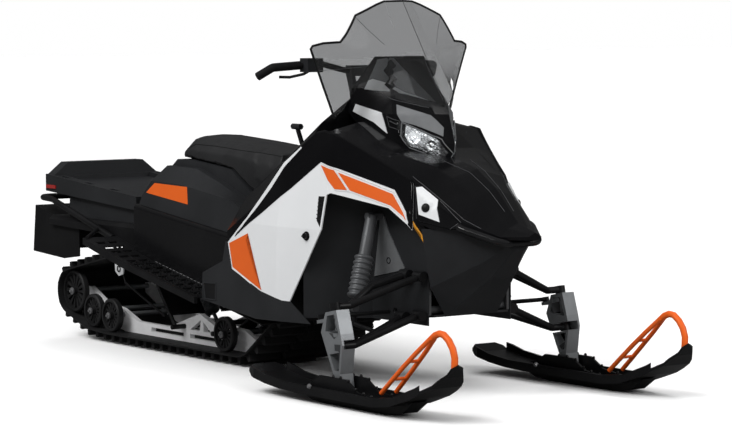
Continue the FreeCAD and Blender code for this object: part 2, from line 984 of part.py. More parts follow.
def suspension_arms(axle, wheels):
    """Front and rear arms between the tunnel's cross shafts and the slide rails."""
    wall = "tunnel_half - tunnel_wall"
    pivot = rod("front_shaft", "skid_tube / 2 + belt_gap * 2",
                ("arm_pivot_front_x", f"-({wall})", "arm_pivot_front_z"),
                ("arm_pivot_front_x", wall, "arm_pivot_front_z"))
    pieces = [pivot]
    foot_y = "wheel_outer_y - hub_proud * 2"
    for side in ("", "-"):
        leg = f"{side}skid_leg_y"
        pieces.append(rod("front_leg", "skid_tube / 2", ("arm_pivot_front_x", leg, "arm_pivot_front_z"),
                          ("arm_foot_front_x", leg, "arm_foot_z")))
        pieces.append(rod("rear_leg", "skid_tube / 2", ("carrier_x", f"{side}skid_rear_leg_y", "carrier_z"),
                          ("arm_foot_rear_x", f"{side}skid_rear_leg_y", "arm_foot_z")))
    for x in ("arm_foot_front_x", "arm_foot_rear_x"):
        pieces.append(rod("foot_shaft", "axle_radius", (x, f"-({foot_y})", "arm_foot_z"),
                          (x, foot_y, "arm_foot_z")))
    front_web = web("front_arm_web", ("arm_pivot_front_x", "arm_pivot_front_z"),
                    ("arm_foot_front_x", "arm_foot_z"), "skid_leg_y * 2")
    rear_foot = (between("arm_foot_rear_x", "carrier_x", "1 / 5"),
                 between("arm_foot_z", "carrier_z", "1 / 5"))
    rear_web = web("rear_arm_web", ("carrier_x", "carrier_z"), rear_foot, "skid_rear_leg_y * 2")
    room = rod("rear_shock_room", "skid_spring_radius + tie_clearance", ("carrier_x", "0", "carrier_z"),
               ("arm_foot_rear_x", "0", "arm_foot_z"))
    ahead = rod("front_shock_room", "skid_spring_radius + tie_clearance",
                ("arm_pivot_front_x", "0", "arm_pivot_front_z"), ("arm_foot_front_x", "0", "arm_foot_z"))
    plates = cut("arm_webs", together("arm_web_forms", [front_web, rear_web]),
                 together("shock_rooms", [room, ahead]))
    return cut("suspension_arms", fused("suspension_arm_form", pieces + [plates]),
               together("suspension_seats", [axle, wheels]))


def web(label, top, foot, width):
    """A flat plate between two cross shafts."""
    body = new_body(label)
    half = "web_thickness / 2"
    points = [(top[0], f"{top[1]} + {half}"), (top[0], f"{top[1]} - {half}"),
              (foot[0], f"{foot[1]} - {half}"), (foot[0], f"{foot[1]} + {half}")]
    pad(body, outline(body, "side", points), width)
    return body


def damper(label, top, foot, can, shaft, spring, coils, first_share, last_share):
    """A spring round a damper, all about the line from top to foot."""
    first, last = at(*top), at(*foot)
    length = (last - first).Length
    pitch = (length * last_share - length * first_share) / coils
    wire = size("spring_wire")
    profile = [(0, 0), (size(can), 0), (size(can), length * first_share)]
    for index in range(coils):
        start = length * first_share + index * pitch
        profile += [(size(spring) - wire, start), (size(spring), start + pitch / 4)]
        profile += [(size(spring), start + pitch / 2), (size(spring) - wire, start + pitch * 3 / 4)]
    profile += [(size(can), length * last_share), (size(shaft), length * last_share)]
    profile += [(size(shaft), length), (0, length)]
    points = [Vector(radius, 0, along) for radius, along in profile]
    face = Part.Face(Part.makePolygon(points + points[:1]))
    solid = face.revolve(Vector(), Vector(0, 0, 1), 360)
    return shaped(label, solid, Placement(first, Rotation(Vector(0, 0, 1), last - first)))


def track_shocks(seats):
    """The two dampers along the middle of the rear suspension."""
    front = damper("front_track_shock", ("arm_pivot_front_x", "0", "arm_pivot_front_z"),
                   ("arm_foot_front_x", "0", "arm_foot_z"), "skid_shock_radius", "skid_tube / 2",
                   "skid_spring_radius", 6, 0.22, 0.82)
    rear = damper("rear_track_shock", ("carrier_x", "0", "carrier_z"),
                  ("arm_foot_rear_x", "0", "arm_foot_z"), "skid_shock_radius", "skid_tube / 2",
                  "skid_spring_radius", 8, 0.22, 0.82)
    return cut("track_shocks", together("track_shock_pair", [front, rear]), seats)


# Tunnel, boards and what is fastened to them

BOARD_LINE = [
    ("board_front_x", "board_front_z"),
    ("board_knee_x", "board_knee_z"),
    ("board_rear_x", "board_rear_z"),
]


def board_z(x, drop="0"):
    """Height of the running board's top at a place along it."""
    first, last = BOARD_LINE[:2] if size(x) >= size("board_knee_x") else BOARD_LINE[1:]
    return f"{between(first[1], last[1], part_way(x, first[0], last[0]))} - ({drop})"


def board_strip(front, rear, above, below):
    """A band along the board's line, from above to below it."""
    places = [front] + (["board_knee_x"] if size(rear) < size("board_knee_x") else []) + [rear]
    top = [(x, board_z(x, above)) for x in places]
    return top + [(x, board_z(x, below)) for x in reversed(places)]


def tunnel():
    body = new_body("tunnel")
    outer = [("-tunnel_half", "0"), ("-tunnel_half", "tunnel_top_z - tunnel_corner"),
             ("tunnel_corner - tunnel_half", "tunnel_top_z")]
    outer += [(f"-({y})", z) for y, z in reversed(outer)]
    pad(body, outline(body, "front", outer, "tunnel_rear_x"), "tunnel_front_x - tunnel_rear_x", "along")
    bend = "tunnel_wall * (sqrt(2) - 1)"
    inner = [
        ("tunnel_wall - tunnel_half", "-cut_over"),
        ("tunnel_wall - tunnel_half", f"tunnel_top_z - tunnel_corner - {bend}"),
        (f"tunnel_corner - tunnel_half + {bend}", "tunnel_top_z - tunnel_wall"),
    ]
    inner += [(f"-({y})", z) for y, z in reversed(inner)]
    pocket(body, outline(body, "front", inner, "tunnel_rear_x - cut_over"),
           "tunnel_front_x - tunnel_rear_x + cut_over - tunnel_wall", "along")
    below = [(x, z) for x, z in BOARD_LINE]
    below += [("tunnel_rear_x - cut_over", "tunnel_rear_low_z"), ("tunnel_rear_x - cut_over", "-cut_over")]
    below += [("tunnel_front_x + cut_over", "-cut_over"), ("tunnel_front_x + cut_over", "board_front_z")]
    pocket(body, outline(body, "side", below), "tunnel_half * 3")
    return body


def running_boards():
    """The left board: a plate on the tunnel's side, with grip slots and a turned-down outer edge."""
    body = new_body("running_board_form")
    outer = board_strip("footwell_rear_x", "board_rear_x", "0", "board_plate")
    pad(body, outline(body, "side", outer, "-tunnel_half"), "board_outer_y - tunnel_half", "against")
    inner = board_strip("board_front_x", "footwell_rear_x", "0", "board_plate")
    pad(body, outline(body, "side", inner, "-tunnel_half"), "board_inner_y - tunnel_half", "against")
    lip = board_strip("footwell_rear_x", "board_rear_x", "0", "board_edge_depth")
    pad(body, outline(body, "side", lip, "board_edge_width - board_outer_y"), "board_edge_width", "against")
    slot_y = "board_outer_y - board_edge_width - board_slot_inset"
    slot = [
        ("board_slot_start_x", slot_y),
        ("board_slot_start_x + board_slot_length", slot_y),
        ("board_slot_start_x + board_slot_length", f"{slot_y} - board_slot_width"),
        ("board_slot_start_x", f"{slot_y} - board_slot_width"),
    ]
    inner_slot = [(x, f"{y} - board_slot_width - board_slot_inset") for x, y in slot]
    sketch = new_sketch(body, "top")
    add_polygon(sketch, slot)
    add_polygon(sketch, inner_slot)
    first = pocket(body, sketch, "board_rear_z * 3")
    count = int((size("footwell_rear_x") - size("board_slot_start_x")) / size("board_slot_pitch"))
    repeat(body, first, "X_Axis", "board_slot_pitch", count)
    return pair("running_boards", body)


def tunnel_covers():
    """The rolled plastic covers along the tunnel's sides."""
    body = new_body("tunnel_cover_form")
    top = [("cover_front_x", "cover_front_z"), ("cover_rear_x", "cover_rear_z")]
    places = ["cover_rear_x", "board_knee_x", "cover_front_x"]
    points = top + [(x, board_z(x, "-seat_gap")) for x in places]
    pad(body, outline(body, "side", points, "-tunnel_half"), "cover_thickness", "against")
    outer = size("tunnel_half + cover_thickness")
    low = size("cover_front_z")
    round_edges(body, "cover_roll", lambda edge,
                middle: abs(middle.y - outer) < 1 and middle.z > low and edge.Length > low)
    return pair("tunnel_covers", body)


def rear_bumper():
    y = "tunnel_half + bumper_radius + seat_gap"
    route = [
        ("bumper_front_x", y, "bumper_front_z"),
        ("bumper_mid_x", y, "bumper_mid_z"),
        ("bumper_rear_x", "bumper_corner_y", "bumper_mid_z"),
    ]
    return tube("rear_bumper", flipped(route), "bumper_radius", "bumper_bend")


def board_braces(bumper, boards):
    """Stays from the boards' rear corners to the bumper's tube."""
    head_z = between("bumper_front_z", "bumper_mid_z",
                     part_way("brace_head_x", "bumper_front_x", "bumper_mid_x"))
    stay = rod("board_brace_form", "brace_radius",
               ("brace_foot_x", "brace_foot_y", board_z("brace_foot_x", "-brace_radius / 2")),
               ("brace_head_x", "tunnel_half + bumper_radius", head_z))
    return pair("board_braces", cut("board_brace_left", stay, together("brace_seats", [bumper, boards])))


def cargo_deck():
    """The rack on the tunnel: a rimmed tray on a narrower foot, with a raised block at its rear."""
    body = new_body("cargo_deck")
    side = [("deck_rear_x", "deck_rear_low_z"), ("deck_rear_x", "deck_rear_top_z"),
            ("deck_front_x", "deck_front_top_z"), ("deck_front_x", "deck_front_low_z")]
    pad(body, outline(body, "side", side), "deck_half * 2")
    foot = [("deck_foot_rear_x", "tunnel_top_z"), ("deck_foot_rear_x", "deck_rear_low_z"),
            ("deck_rear_x + deck_rim", "deck_rear_low_z + deck_edge"),
            ("deck_front_x", "deck_front_low_z + deck_edge"), ("deck_front_x", "tunnel_top_z")]
    pad(body, outline(body, "side", foot), "deck_foot_half * 2")
    wall = [("-deck_half", "deck_rear_top_z - deck_edge"), ("-deck_wall_half", "deck_wall_top_z"),
            ("deck_wall_half", "deck_wall_top_z"), ("deck_half", "deck_rear_top_z - deck_edge")]
    pad(body, outline(body, "front", wall, "deck_rear_x"), "deck_wall_depth", "along")
    first, last = "deck_rear_x + deck_wall_depth + deck_edge", "deck_front_x - deck_rim"
    floor = [(x, deck_top_z(x, "deck_depth")) for x in (first, last)]
    room = floor + [("deck_front_x - deck_rim / 2", "deck_wall_top_z + deck_edge"),
                    (first, "deck_wall_top_z + deck_edge")]
    pocket(body, outline(body, "side", room), "(deck_half - deck_rim) * 2")
    slot_y = "deck_half - deck_rim / 2"
    slot = [(f"{first} + deck_slot_width", f"{slot_y} - deck_slot_width / 2"),
            (f"{first} + deck_slot_width + deck_slot_length", f"{slot_y} - deck_slot_width / 2"),
            (f"{first} + deck_slot_width + deck_slot_length", f"{slot_y} + deck_slot_width / 2"),
            (f"{first} + deck_slot_width", f"{slot_y} + deck_slot_width / 2")]
    sketch = new_sketch(body, "top", "deck_rear_low_z + deck_edge")
    add_polygon(sketch, slot)
    add_polygon(sketch, [(x, f"-({y})") for x, y in slot])
    grip = pocket(body, sketch, "deck_wall_top_z", "along")
    repeat(body, grip, "X_Axis", "deck_slot_pitch", 3)
    return body


def deck_top_z(x, drop):
    """Height of the deck's rim at a place along it, less a drop."""
    share = part_way(x, "deck_rear_x", "deck_front_x")
    return f"{between('deck_rear_top_z', 'deck_front_top_z', share)} - {drop}"


def tail_lamps():
    rear = ("deck_rear_x + deck_edge", "deck_rear_x + deck_edge + lamp_length")
    left = box("side_lamp_form", (rear[0], "deck_half", "lamp_z"),
               (rear[1], "deck_half + lamp_depth", "lamp_z + lamp_height"))
    stop = box("stop_lamp", ("deck_rear_x - lamp_depth", "-stop_lamp_half",
                             "deck_rear_low_z + lamp_height"),
               ("deck_rear_x", "stop_lamp_half", "deck_rear_low_z + lamp_height + stop_lamp_height"))
    return together("tail_lamps", [left, mirrored("side_lamp_twin", left), stop])


def snow_flap():
    """The flap that hangs behind the track, open towards it."""
    body = new_body("snow_flap")
    half = "tunnel_half - tunnel_corner - tunnel_wall"
    side = [("flap_front_x", "flap_front_z"), ("flap_low_x", "flap_low_z"), ("tail_x", "flap_rear_z"),
            ("tail_x + flap_lean", "flap_top_z"), ("tunnel_rear_x - seat_gap", "flap_step_z"),
            ("flap_front_x", "flap_front_top_z")]
    pad(body, outline(body, "side", side), f"({half}) * 2")
    room = [("flap_front_x + cut_over", "-cut_over"), ("tail_x + flap_wall", "-cut_over"),
            ("tail_x + flap_wall", "flap_rear_z"),
            ("tail_x + flap_lean + flap_wall", "flap_top_z - flap_wall"),
            ("tunnel_rear_x - seat_gap", "flap_step_z - flap_wall"),
            ("flap_front_x + cut_over", "flap_front_top_z - flap_wall")]
    pocket(body, outline(body, "side", room), f"({half} - flap_wall) * 2")
    return body


def tow_hitch():
    """A tongue with a vertical bore for a drawbar pin, on a block on the tunnel."""
    body = new_body("tow_hitch")
    rear = "tail_x + hitch_tail_inset"
    plate = [("tunnel_rear_x + hitch_seat", "-hitch_half"), ("tunnel_rear_x + hitch_seat", "hitch_half"),
             (f"{rear} + hitch_half / 2", "hitch_half"), (rear, "hitch_half / 2"),
             (rear, "-hitch_half / 2"), (f"{rear} + hitch_half / 2", "-hitch_half")]
    pad(body, outline(body, "top", plate, "hitch_z"), "hitch_thickness", "along")
    block = [("tunnel_rear_x + hitch_seat", "-hitch_half"), ("tunnel_rear_x + hitch_seat", "hitch_half"),
             ("tunnel_rear_x", "hitch_half"), ("tunnel_rear_x", "-hitch_half")]
    pad(body, outline(body, "top", block, "tunnel_top_z"), "hitch_z + hitch_thickness / 2 - tunnel_top_z",
        "along")
    hole = new_sketch(body, "top", "hitch_z - cut_over")
    add_circle(hole, f"{rear} + hitch_bore_inset", "0", "hitch_bore_radius")
    pocket(body, hole, "cut_over * 2", "along")
    return body


# Front frame

def along_kingpin(u, w, y="0"):
    """A point given across and along the left kingpin, as x, y and z."""
    return (f"kingpin_x + ({u}) * cos(kingpin_rake) - ({w}) * sin(kingpin_rake)", f"stance_half + ({y})",
            f"kingpin_z + ({u}) * sin(kingpin_rake) + ({w}) * cos(kingpin_rake)")


def tie_place():
    """Where the tie rod runs, seen from the side."""
    x, y, z = along_kingpin("-steer_arm", "steer_arm_w + tie_gap + tie_end_height / 2")
    return x, z


BULKHEAD_SHARES = [
    (0.548, 0.384), (0.573, 0.512), (0.592, 0.941), (0.63, 1), (0.688, 0.823), (0.822, 0.493),
    (1, 0.438),
]


def belly_top(x):
    return between("belly_rear_z", "belly_mid_z", part_way(x, "belly_rear_x", "belly_mid_x"))


def bulkhead():
    """Two side plates from the tunnel's front wall to the nose, tied by cross tubes."""
    body = new_body("bulkhead_form")
    upper = spread(BULKHEAD_SHARES, ("tunnel_front_x", "plate_low_z"), ("plate_front_x", "plate_top_z"))
    points = [("tunnel_front_x", belly_top("tunnel_front_x")), ("tunnel_front_x", "plate_rail_z")] + upper
    points += [("plate_front_x", belly_top("plate_front_x"))]
    pad(body, outline(body, "side", points, "plate_thickness - plate_y"), "plate_thickness", "against")
    holes = new_sketch(body, "side", "-plate_y")
    add_circle(holes, "plate_hole_x", "plate_hole_z", "plate_hole_radius")
    add_circle(holes, *tie_place(), "tie_rod_radius + tie_clearance")
    pocket(body, holes, "plate_thickness * 3")
    inner = "plate_y - plate_thickness"
    cross = [("engine_rear_x + cross_radius * 2", "engine_low_z - cross_radius"),
             ("engine_rear_x + engine_length - cross_radius * 5", "engine_low_z - cross_radius"),
             ("plate_front_x - cross_radius * 2", "upper_arm_in_z - cross_radius"),
             ("plate_front_x - cross_radius * 2", "lower_arm_in_z + cross_radius")]
    tubes = [rod("bulkhead_cross_tube", "cross_radius", (x, f"-({inner})", z), (x, inner, z)) for x,
             z in cross]
    return fused("bulkhead", [body, mirrored("bulkhead_twin", body)] + tubes)


def engine_block():
    return box("engine_block", ("engine_rear_x", "-engine_half", "engine_low_z"),
               ("engine_rear_x + engine_length", "engine_half", "engine_low_z + engine_height"))


def mirrored_loop(points):
    """A closed outline from its left half, listed from the lowest point up."""
    return points + [(f"-({y})", z) for y, z in reversed(points)]


def belly_pan():
    """The floor under the engine and the keeled nose before it."""
    body = new_body("belly_pan")
    floor = [("belly_rear_x", "belly_rear_z"), ("belly_mid_x", "belly_mid_z"),
             ("belly_mid_x", "belly_mid_z - belly_plate"), ("belly_rear_x", "belly_rear_z - belly_plate")]
    pad(body, outline(body, "side", floor), "belly_half * 2")
    sections = []
    for x, low, low_y, chine, chine_y, top, top_y in BELLY_STATIONS:
        points = mirrored_loop([(low_y, low), (chine_y, chine), (top_y, top)])
        sections.append(outline(body, "front", points, x))
    loft(body, sections)
    return body


BELLY_STATIONS = [
    ("belly_mid_x", "belly_mid_z - belly_plate", "belly_half * 0.7", "belly_mid_z + belly_chine",
     "belly_half * 1.1", "belly_top_z", "belly_half * 1.34"),
    ("belly_keel_x", "belly_keel_z", "belly_half * 0.3", "belly_keel_z + belly_chine * 0.6",
     "belly_half * 0.5", "belly_top_z", "belly_half * 0.6"),
    ("belly_front_x", "belly_front_z", "belly_half * 0.14", "belly_front_z + belly_chine * 0.2",
     "belly_half * 0.3", "belly_top_z - belly_chine * 0.3", "belly_half * 0.36"),
]


# Bodywork skins

SKIN_STATIONS = ("tail", "knee", "chest", "brow", "snout")
SKIN_LEVELS = ("low", "mid", "top")


def skin_y(x, z):
    """Half width of the bodywork at a place seen from the side."""
    places = [size(f"skin_{name}_x") for name in SKIN_STATIONS[1:-1]]
    index = sum(size(x) > place for place in places)
    rear, front = SKIN_STATIONS[index], SKIN_STATIONS[index + 1]
    low, high = ("low", "mid") if size(z) <= size("skin_mid_z") else ("mid", "top")
    along = part_way(x, f"skin_{rear}_x", f"skin_{front}_x")
    lower = between(f"skin_{rear}_{low}", f"skin_{front}_{low}", along)
    upper = between(f"skin_{rear}_{high}", f"skin_{front}_{high}", along)
    return between(lower, upper, part_way(z, f"skin_{low}_z", f"skin_{high}_z"))


def inside_skin(x, z):
    return f"{skin_y(x, z)} - skin_wall - seat_gap", z


def skin(label, points):
    """A thin shell that follows the bodywork's side, cut to an outline seen from the side."""
    body = new_body(label)
    sections = []
    for name in SKIN_STATIONS:
        outer = [(f"skin_{name}_{level}", f"skin_{level}_z") for level in SKIN_LEVELS]
        inner = [(f"{y} - skin_wall", z) for y, z in reversed(outer)]
        sections.append(outline(body, "front", outer + inner, f"skin_{name}_x"))
    loft(body, sections)
    trim(body, "side", points)
    return body


SEAM_SHARES = [
    (0.446, 0), (0.398, 0), (0.25, 0.038), (0.037, 0.144), (0, 0.302),
]
PANEL_SHARES = [
    (0.131, 0.459), (0.242, 0.627), (0.35, 0.799), (0.445, 0.899), (0.535, 0.984),
    (0.582, 0.997), (0.642, 0.984), (0.958, 0.734), (0.97, 0.703), (1, 0.457), (0.978, 0.487),
    (0.892, 0.574), (0.652, 0.646), (0.635, 0.634), (0.626, 0.434), (0.532, 0.204),
]


def panel_box():
    return ("panel_rear_x", "panel_low_z"), ("panel_front_x", "panel_top_z")


def side_panels():
    points = spread(SEAM_SHARES, *panel_box()) + spread(PANEL_SHARES, *panel_box())
    left = skin("side_panel_left", points)
    return left, mirrored("side_panel_right", left)


def footwells():
    seam = spread(SEAM_SHARES, *panel_box())
    points = seam + [("footwell_lip_x", "footwell_lip_z"),
                     ("footwell_lip_x - footwell_step", "footwell_rear_z + footwell_step * 3"),
                     ("footwell_rear_x", "footwell_rear_z"),
                     ("footwell_rear_x", board_z("footwell_rear_x", "board_plate * 2")),
                     ("board_front_x", "skin_low_z + skin_wall"),
                     ("footwell_front_x", "skin_low_z + skin_wall * 3")]
    left = skin("footwell_left", points)
    return left, mirrored("footwell_right", left)


def arch_liners(panel):
    """The inner wall of each ski's arch, bent in from the footwell to the bulkhead's plate."""
    body = new_body("arch_liner_form")
    inner = "plate_y + seat_gap"
    plan = [("liner_rear_x", "liner_rear_y"), ("liner_bend_x", f"{inner} + liner_wall"),
            ("liner_front_x", f"{inner} + liner_wall"),
            ("liner_front_x", inner), ("liner_bend_x - liner_wall / 2", inner),
            ("liner_rear_x - liner_wall", "liner_rear_y - liner_wall")]
    pad(body, outline(body, "top", plan, "liner_low_z"), "liner_top_z - liner_low_z", "along")
    edge = [inside_skin("liner_rear_x", z) for z in ("liner_low_z - cut_over / 4", "skin_mid_z",
                                                     "liner_top_z + cut_over")]
    trim(body, "front", edge + [("0", "liner_top_z + cut_over"), ("0", "liner_low_z - cut_over / 4")])
    slope = [("liner_bend_x + liner_slope_run", "liner_top_z"),
             ("liner_front_x + cut_over", "liner_front_top_z"),
             ("liner_front_x + cut_over", "liner_top_z + cut_over"),
             ("liner_bend_x + liner_slope_run", "liner_top_z + cut_over")]
    pocket(body, outline(body, "side", slope), "liner_rear_y * 2")
    hole = new_sketch(body, "side", "-plate_y")
    add_circle(hole, *tie_place(), "tie_rod_radius + tie_clearance")
    pocket(body, hole, "plate_thickness * 3")
    return pair("arch_liners", cut("arch_liner_left", body, panel))


def console():
    """The body between seat and windshield, narrowing to a ridge under the bars."""
    body = new_body("console_form")
    sections = []
    for x, low, waist, ridge, ridge_y in CONSOLE_STATIONS:
        shoulder = between(waist, ridge, "0.45")
        points = [inside_skin(x, low), inside_skin(x, waist),
                  (between(inside_skin(x, waist)[0], ridge_y, "0.3"), shoulder), (ridge_y, ridge)]
        sections.append(outline(body, "front", mirrored_loop(points), x))
    loft(body, sections)
    return cut("console", body, post_bore())


CONSOLE_STATIONS = [
    ("console_rear_x", "console_low_z", "console_low_z + console_waist * 0.2",
     "seat_front_z - console_step", "console_ridge_half * 0.75"),
    ("panel_rear_x + console_mid", "console_low_z", "console_low_z + console_waist",
     "seat_front_z + console_step * 7", "console_ridge_half * 0.8"),
    ("skin_knee_x", "console_low_z", "console_low_z + console_waist * 1.75",
     "console_top_z - console_step * 6", "console_ridge_half"),
    ("console_front_x", "console_low_z", "console_low_z + console_waist * 2.3", "console_top_z",
     "console_ridge_half"),
]


def post_point(along):
    """A point of the steering axis, that far above its reference place."""
    return (f"post_x - ({along}) * sin(post_rake)", "0", f"post_z + ({along}) * cos(post_rake)")


def post_bore():
    return rod("post_bore", "post_radius + post_bore_gap", post_point("-post_depth"),
               post_point("post_depth"))


def seat_stations():
    return [
        ("seat_rear_x", "seat_rear_z - seat_side * 1.6", "seat_rear_z - seat_crown", "seat_rear_z",
         "seat_half * 0.86"),
        ("seat_rise_x", "seat_crown_z - seat_side * 1.85", "seat_crown_z - seat_crown", "seat_crown_z",
         "seat_half * 0.93"),
        ("seat_dip_x", "seat_dip_z", "seat_front_z", "seat_front_z + seat_crown * 0.6", "seat_half"),
        ("seat_drop_x", "seat_drop_z", "seat_front_z", "seat_front_z + seat_crown * 0.35", "seat_half"),
        ("seat_front_x", "seat_front_low_z", "seat_front_z - seat_crown * 0.25", "seat_front_z",
         "seat_half * 0.9"),
    ]


def seat_cushion():
    body = new_body("seat_cushion")
    sections = []
    for x, low, shoulder, crown, half in seat_stations():
        side = [(half, low), (half, between(low, shoulder, "0.7")), (f"({half}) * 0.9", shoulder),
                (f"({half}) * 0.6", f"{crown} - seat_crown / 8")]
        points = side + [("0", crown)] + [(f"-({y})", z) for y, z in reversed(side)]
        sections.append(outline(body, "front", points, x))
    loft(body, sections)
    return body


def seat_low(x):
    """Height of the cushion's underside at a place along it."""
    stations = seat_stations()
    index = sum(size(x) > size(station[0]) for station in stations[1:-1])
    first, last = stations[index], stations[index + 1]
    return f"{between(first[1], last[1], part_way(x, first[0], last[0]))} - seat_gap"


def seat_base():
    """The closed box that carries the cushion, with a step behind it."""
    body = new_body("seat_base")
    places = ["seat_rear_x", "seat_rise_x", "seat_dip_x", "seat_drop_x", "console_rear_x - seat_gap"]
    points = [("base_rear_x", "cover_rear_z"), ("base_rear_x", "fairing_top_z - seat_side * 0.75"),
              ("seat_rear_x - seat_side * 0.75", "fairing_top_z")]
    points += [(x, seat_low(x)) for x in places] + [("console_rear_x - seat_gap", "tunnel_top_z"),
                                                    ("base_rear_x", "tunnel_top_z")]
    pad(body, outline(body, "side", points[1:]), "base_half * 2")
    return body


def cover_z(x):
    """Height of the tunnel covers' top edge at a place along it."""
    if size(x) > size("cover_front_x"):
        return "cover_front_z + seat_gap"
    share = part_way(x, "cover_rear_x", "cover_front_x")
    return f"{between('cover_rear_z', 'cover_front_z', share)} + seat_gap"


def side_fairings():
    """The panels beside the seat's base: a flared wall with a ledge that leans in above it."""
    body = new_body("side_fairing_left")
    sections = []
    for along, wall_share, ledge_share in FAIRING_SHARES:
        place = between("base_rear_x", "console_rear_x - seat_gap", along)
        low = cover_z(place)
        wall = between("cover_rear_z", "fairing_top_z", wall_share)
        ledge = between("cover_rear_z", "fairing_top_z", ledge_share)
        points = [("base_half", low), ("fairing_outer_y", low), ("fairing_outer_y - fairing_lean", wall),
                  ("fairing_ledge_y", ledge), ("base_half", ledge)]
        sections.append(outline(body, "front", points, place))
    loft(body, sections)
    return body, mirrored("side_fairing_right", body)


FAIRING_SHARES = [(0, 0.23, 0.71), (0.087, 0.615, 1), (0.356, 0.59, 0.98), (0.567, 0.46, 0.67),
                  (0.792, 0.33, 0.26), (1, -0.09, -0.05)]


def hood():
    """The sloping nose cover between the side panels."""
    body = new_body("hood_form")
    sections = []
    for x, crown_share, half_share, shoulder_share, edge_share, hem in HOOD_STATIONS:
        shoulder_y = f"hood_half * {half_share}"
        shoulder = f"hood_rear_z - hood_fall * {shoulder_share}"
        edge = f"hood_rear_z - hood_fall * {edge_share}"
        if size(x) > size("hood_cheek_x"):
            side = [(f"{shoulder_y} * 1.7", hem), (f"{shoulder_y} * 1.8", edge)]
        else:
            side = [inside_skin(x, hem), inside_skin(x, edge)]
        side.append((shoulder_y, shoulder))
        points = side + [("0", f"{shoulder} + hood_crown * {crown_share}")] + [(f"-({y})", z) for y,
                                                                               z in reversed(side)]
        sections.append(outline(body, "front", points, x))
    loft(body, sections)
    return body


HOOD_STATIONS = [
    ("hood_rear_x", 0.3, 0.9, -0.2, -0.01, "hood_rear_z - hood_shell"),
    ("skin_chest_x", 0.3, 0.9, -0.1, 0.03, "hood_rear_z - hood_shell * 1.5"),
    ("hood_lamp_x", 0.1, 0.86, 0.4, 0.49, "hood_rear_z - hood_fall * 1.1"),
    ("hood_brow_x", 0.4, 0.58, 0.67, 1, "hood_rear_z - hood_fall * 1.8"),
    ("(hood_brow_x + hood_cheek_x) / 2", 1, 0.5, 0.95, 1.5, "belly_top_z + seat_gap"),
    ("hood_cheek_x", 1.2, 0.36, 1.37, 1.86, "belly_top_z + seat_gap"),
    ("hood_front_x", 0.6, 0.2, 1.99, 2.17, "belly_top_z - hood_shell"),
    ("hood_tip_x", 0.25, 0.07, 2.1, 2.14, "belly_top_z - hood_shell * 0.9"),
]

POD_SHARES = [
    ("pod_low_z", [
    (0.478, 0), (0.478, 0.55), (0.687, 0.44), (0.872, 0.14), (0.961, 0),
]),
    ("pod_lamp_z", [
    (0.338, 0), (0.338, 0.825), (0.635, 0.59), (0.896, 0.17), (1, 0),
]),
    ("pod_brow_z", [
    (0, 0), (0, 0.84), (0.547, 0.7), (0.814, 0.15), (0.919, 0),
]),
    ("pod_shelf_z", [
    (0, 0), (0, 0.75), (0.431, 0.54), (0.663, 0.14), (0.756, 0),
]),
    ("pod_top_z", [
    (0.148, 0), (0.148, 0.46), (0.315, 0.41), (0.427, 0.15), (0.454, 0),
]),
]


def pod_half(shares):
    return spread(shares, ("console_front_x + seat_gap", "0"), ("pod_front_x", "pod_half_width"))


def lamp_pod():
    body = new_body("lamp_pod")
    sections = []
    for z, shares in POD_SHARES:
        left = pod_half(shares)
        points = left + [(x, f"-({y})") for x, y in reversed(left[1:-1])]
        sections.append(outline(body, "top", points, z))
    loft(body, sections)
    return body


def pod_edge(z, first, last):
    """Two neighbouring corners of the pod at a height between its lamp and brow sections."""
    low, high = (0, 1) if size(z) <= size("pod_lamp_z") else (1, 2)
    lower, upper = pod_half(POD_SHARES[low][1]), pod_half(POD_SHARES[high][1])
    rise = part_way(z, POD_SHARES[low][0], POD_SHARES[high][0])
    return [(between(lower[k][0], upper[k][0], rise),
             between(lower[k][1], upper[k][1], rise)) for k in (first, last)]


def headlamps(pod):
    """A lens on each side of the pod's beak, proud of it by its thickness."""
    body = new_body("headlamp_form")
    sections = []
    for z, outer_share, inner_share in LENS_SHARES:
        height = between("pod_low_z", "pod_brow_z", z)
        side, nose = pod_edge(height, 2, 3)
        first = [between(side[k], nose[k], outer_share) for k in (0, 1)]
        last = [between(side[k], nose[k], inner_share) for k in (0, 1)]
        points = [tuple(f"{place} + lens_depth * {step}" for place, step in zip(corner, steps))
                  for corner, steps in ((first, ("(-1)", "(-1 / 2)")), (last, ("(-1)", "(-1 / 2)")),
                                        (last, ("1", "1 / 2")), (first, ("1", "1 / 2")))]
        sections.append(outline(body, "top", points, height))
    loft(body, sections)
    return cut("headlamps", pair("headlamp_pair", body), pod)


LENS_SHARES = [(0.18, 0.7, 1), (0.33, 0.25, 1), (0.56, 0, 1), (0.71, 0, 0.68), (0.86, 0.03, 0.25)]

GLASS_SHARES = [
    (0, 1), (0.177, 0.996), (0.276, 0.971), (0.536, 0.89), (0.663, 0.747), (0.724, 0.689),
    (0.878, 0.68), (0.983, 0.66), (1, 0.631), (0.92, 0.436), (0.79, 0.207), (0.751, 0.093),
    (0.566, 0.131), (0.442, 0.299), (0.304, 0.253), (0, 0.199),
]


